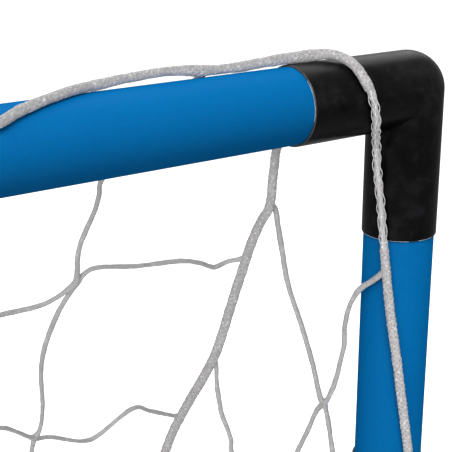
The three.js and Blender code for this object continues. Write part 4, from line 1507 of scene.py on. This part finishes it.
# ---------------------------------------------------------------- floor and world
def floor_material():
    """Seen by the camera, the floor behind the goal burns out to white along the camera's own
    line of sight and stays pale grey from elsewhere. To all other rays it is a dim grey."""
    m = new_shader("floor")
    away = m.node("ShaderNodeVectorMath", {0: m.coords}, operation="LENGTH").outputs["Value"]
    incoming = m.node("ShaderNodeNewGeometry").outputs["Incoming"]
    look = m.node("ShaderNodeVectorMath", {0: incoming, 1: CAMERA_FORWARD},
                  operation="DOT_PRODUCT").outputs["Value"]
    in_line = m.remap(look, to=(1.0, 0.0), span=(-0.955, -0.9))
    white = m.calc("MULTIPLY", in_line, m.remap(away, to=(0.0, 1.0), span=(1.2, 2.05)))
    off_line = m.calc("SUBTRACT", 1.0, in_line)
    pale = m.calc("MULTIPLY", off_line, m.remap(away, to=(0.0, 0.505), span=(1.0, 4.5)))
    colour = m.mix(white, (0.46, 0.46, 0.464, 1), (0.84, 0.84, 0.84, 1))
    seen = m.node("ShaderNodeBsdfDiffuse", {0: colour}).outputs[0]
    strength = m.calc("ADD", m.calc("MULTIPLY", white, 0.62), pale)
    glow = m.node("ShaderNodeEmission", {0: (1, 1, 1, 1), 1: strength}).outputs[0]
    lit = m.node("ShaderNodeAddShader", {0: seen, 1: glow}).outputs[0]
    grain = m.noise(scale=3.0)
    grey = m.ramp(grain, [(0.3, (0.37, 0.37, 0.37)), (0.7, (0.41, 0.41, 0.41))])
    dim = m.node("ShaderNodeBsdfDiffuse", {0: grey}).outputs[0]
    from_camera = m.node("ShaderNodeLightPath").outputs["Is Camera Ray"]
    return m.finish(m.mix_shader(from_camera, dim, lit))


FLOOR_HALF, FLOOR_Z = 40000.0, -0.3
floor_points = [
    (x * FLOOR_HALF, y * FLOOR_HALF, FLOOR_Z) for x, y in ((-1, -1), (1, -1), (1, 1), (-1, 1))
]
new_mesh("floor", floor_points, [[[0, 1, 2, 3]]], floor_material(), smooth=False)


def studio_world():
    """White all round, stronger where the camera sees it directly."""
    world = bpy.data.worlds.new("studio")
    w = Shader(world, output="ShaderNodeOutputWorld")
    lighting, backdrop = (
        w.node("ShaderNodeBackground", {0: (1, 1, 1, 1), 1: strength}).outputs[0]
        for strength in (0.62, 0.79)
    )
    from_camera = w.node("ShaderNodeLightPath").outputs["Is Camera Ray"]
    return w.finish(w.mix_shader(from_camera, lighting, backdrop))


scene = bpy.context.scene
scene.world = studio_world()


# ---------------------------------------------------------------- lights
def area(name, place, target, size, energy):
    """Square area light; places and size in metres."""
    light = bpy.data.lights.new(name, "AREA")
    light.energy, light.size = energy, size
    ob = bpy.data.objects.new(name, light)
    scene.collection.objects.link(ob)
    ob.location = place
    ob.rotation_mode = "QUATERNION"
    ob.rotation_quaternion = (Vector(target) - Vector(place)).to_track_quat("-Z", "Y")
    ob.visible_camera = False
    return ob


key = area("key", place=(-0.6, -2.6, 4.4), target=(0.4, 0, 0.7), size=2.6, energy=170.0)
fill = area("fill", place=(-3.2, -1.0, 2.2), target=(0.5, 0, 0.9), size=2.4, energy=45.0)
area("back", place=(2.5, 1.8, 3.6), target=(0.6, 0, 0.9), size=3.2, energy=62.0)

# Twine and cord have a light of their own from the camera's side; key and fill skip them
flat_lit = bpy.data.collections.new("flat_lit")
net_fill = area("net_fill", place=(-2.2, -3.4, 1.9), target=(0.4, 0.0, 0.9), size=3.0, energy=190.0)
not_flat_lit = bpy.data.collections.new("not_flat_lit")
THIN_NAMES = ("net_", "seam_rope", "border_cord", "bottom_cord")
for ob in scene.objects:
    if ob.type == "MESH" and ob.name.startswith(THIN_NAMES) and ob.name not in frame["nodes"]:
        flat_lit.objects.link(ob)
        not_flat_lit.objects.link(ob)
for member in not_flat_lit.collection_objects:
    member.light_linking.link_state = "EXCLUDE"
net_fill.light_linking.receiver_collection = flat_lit
for light in (key, fill):
    light.light_linking.receiver_collection = not_flat_lit

# ---------------------------------------------------------------- camera
scene.view_settings.view_transform = "Standard"
scene.view_settings.look = "None"
camera = bpy.data.objects.new("camera", bpy.data.cameras.new("camera"))
scene.collection.objects.link(camera)
camera.data.sensor_width = 36.0
camera.data.lens = LENS
camera.data.clip_start, camera.data.clip_end = 0.01, 200.0
forward = unit(CAMERA_FORWARD)
right = unit(CAMERA_RIGHT - forward * (CAMERA_RIGHT @ forward))
place = (TOP + CAMERA_PLACE) * MM
columns = np.stack([right, np.cross(right, forward), -forward, place], 1)
camera.matrix_world = Matrix(np.vstack([columns, [0, 0, 0, 1]]).tolist())
scene.camera = camera

# As the front frame folds, the camera turns after it; at rest the aim lies on its axis
aim = bpy.data.objects.new("aim", None)
scene.collection.objects.link(aim)
aim.parent = frame["bodies"]["front_frame"]
aim.matrix_world = Matrix.Translation(Vector((place + forward * 0.75).tolist()))
follow = camera.constraints.new("DAMPED_TRACK")
follow.target = aim
follow.track_axis = "TRACK_NEGATIVE_Z"
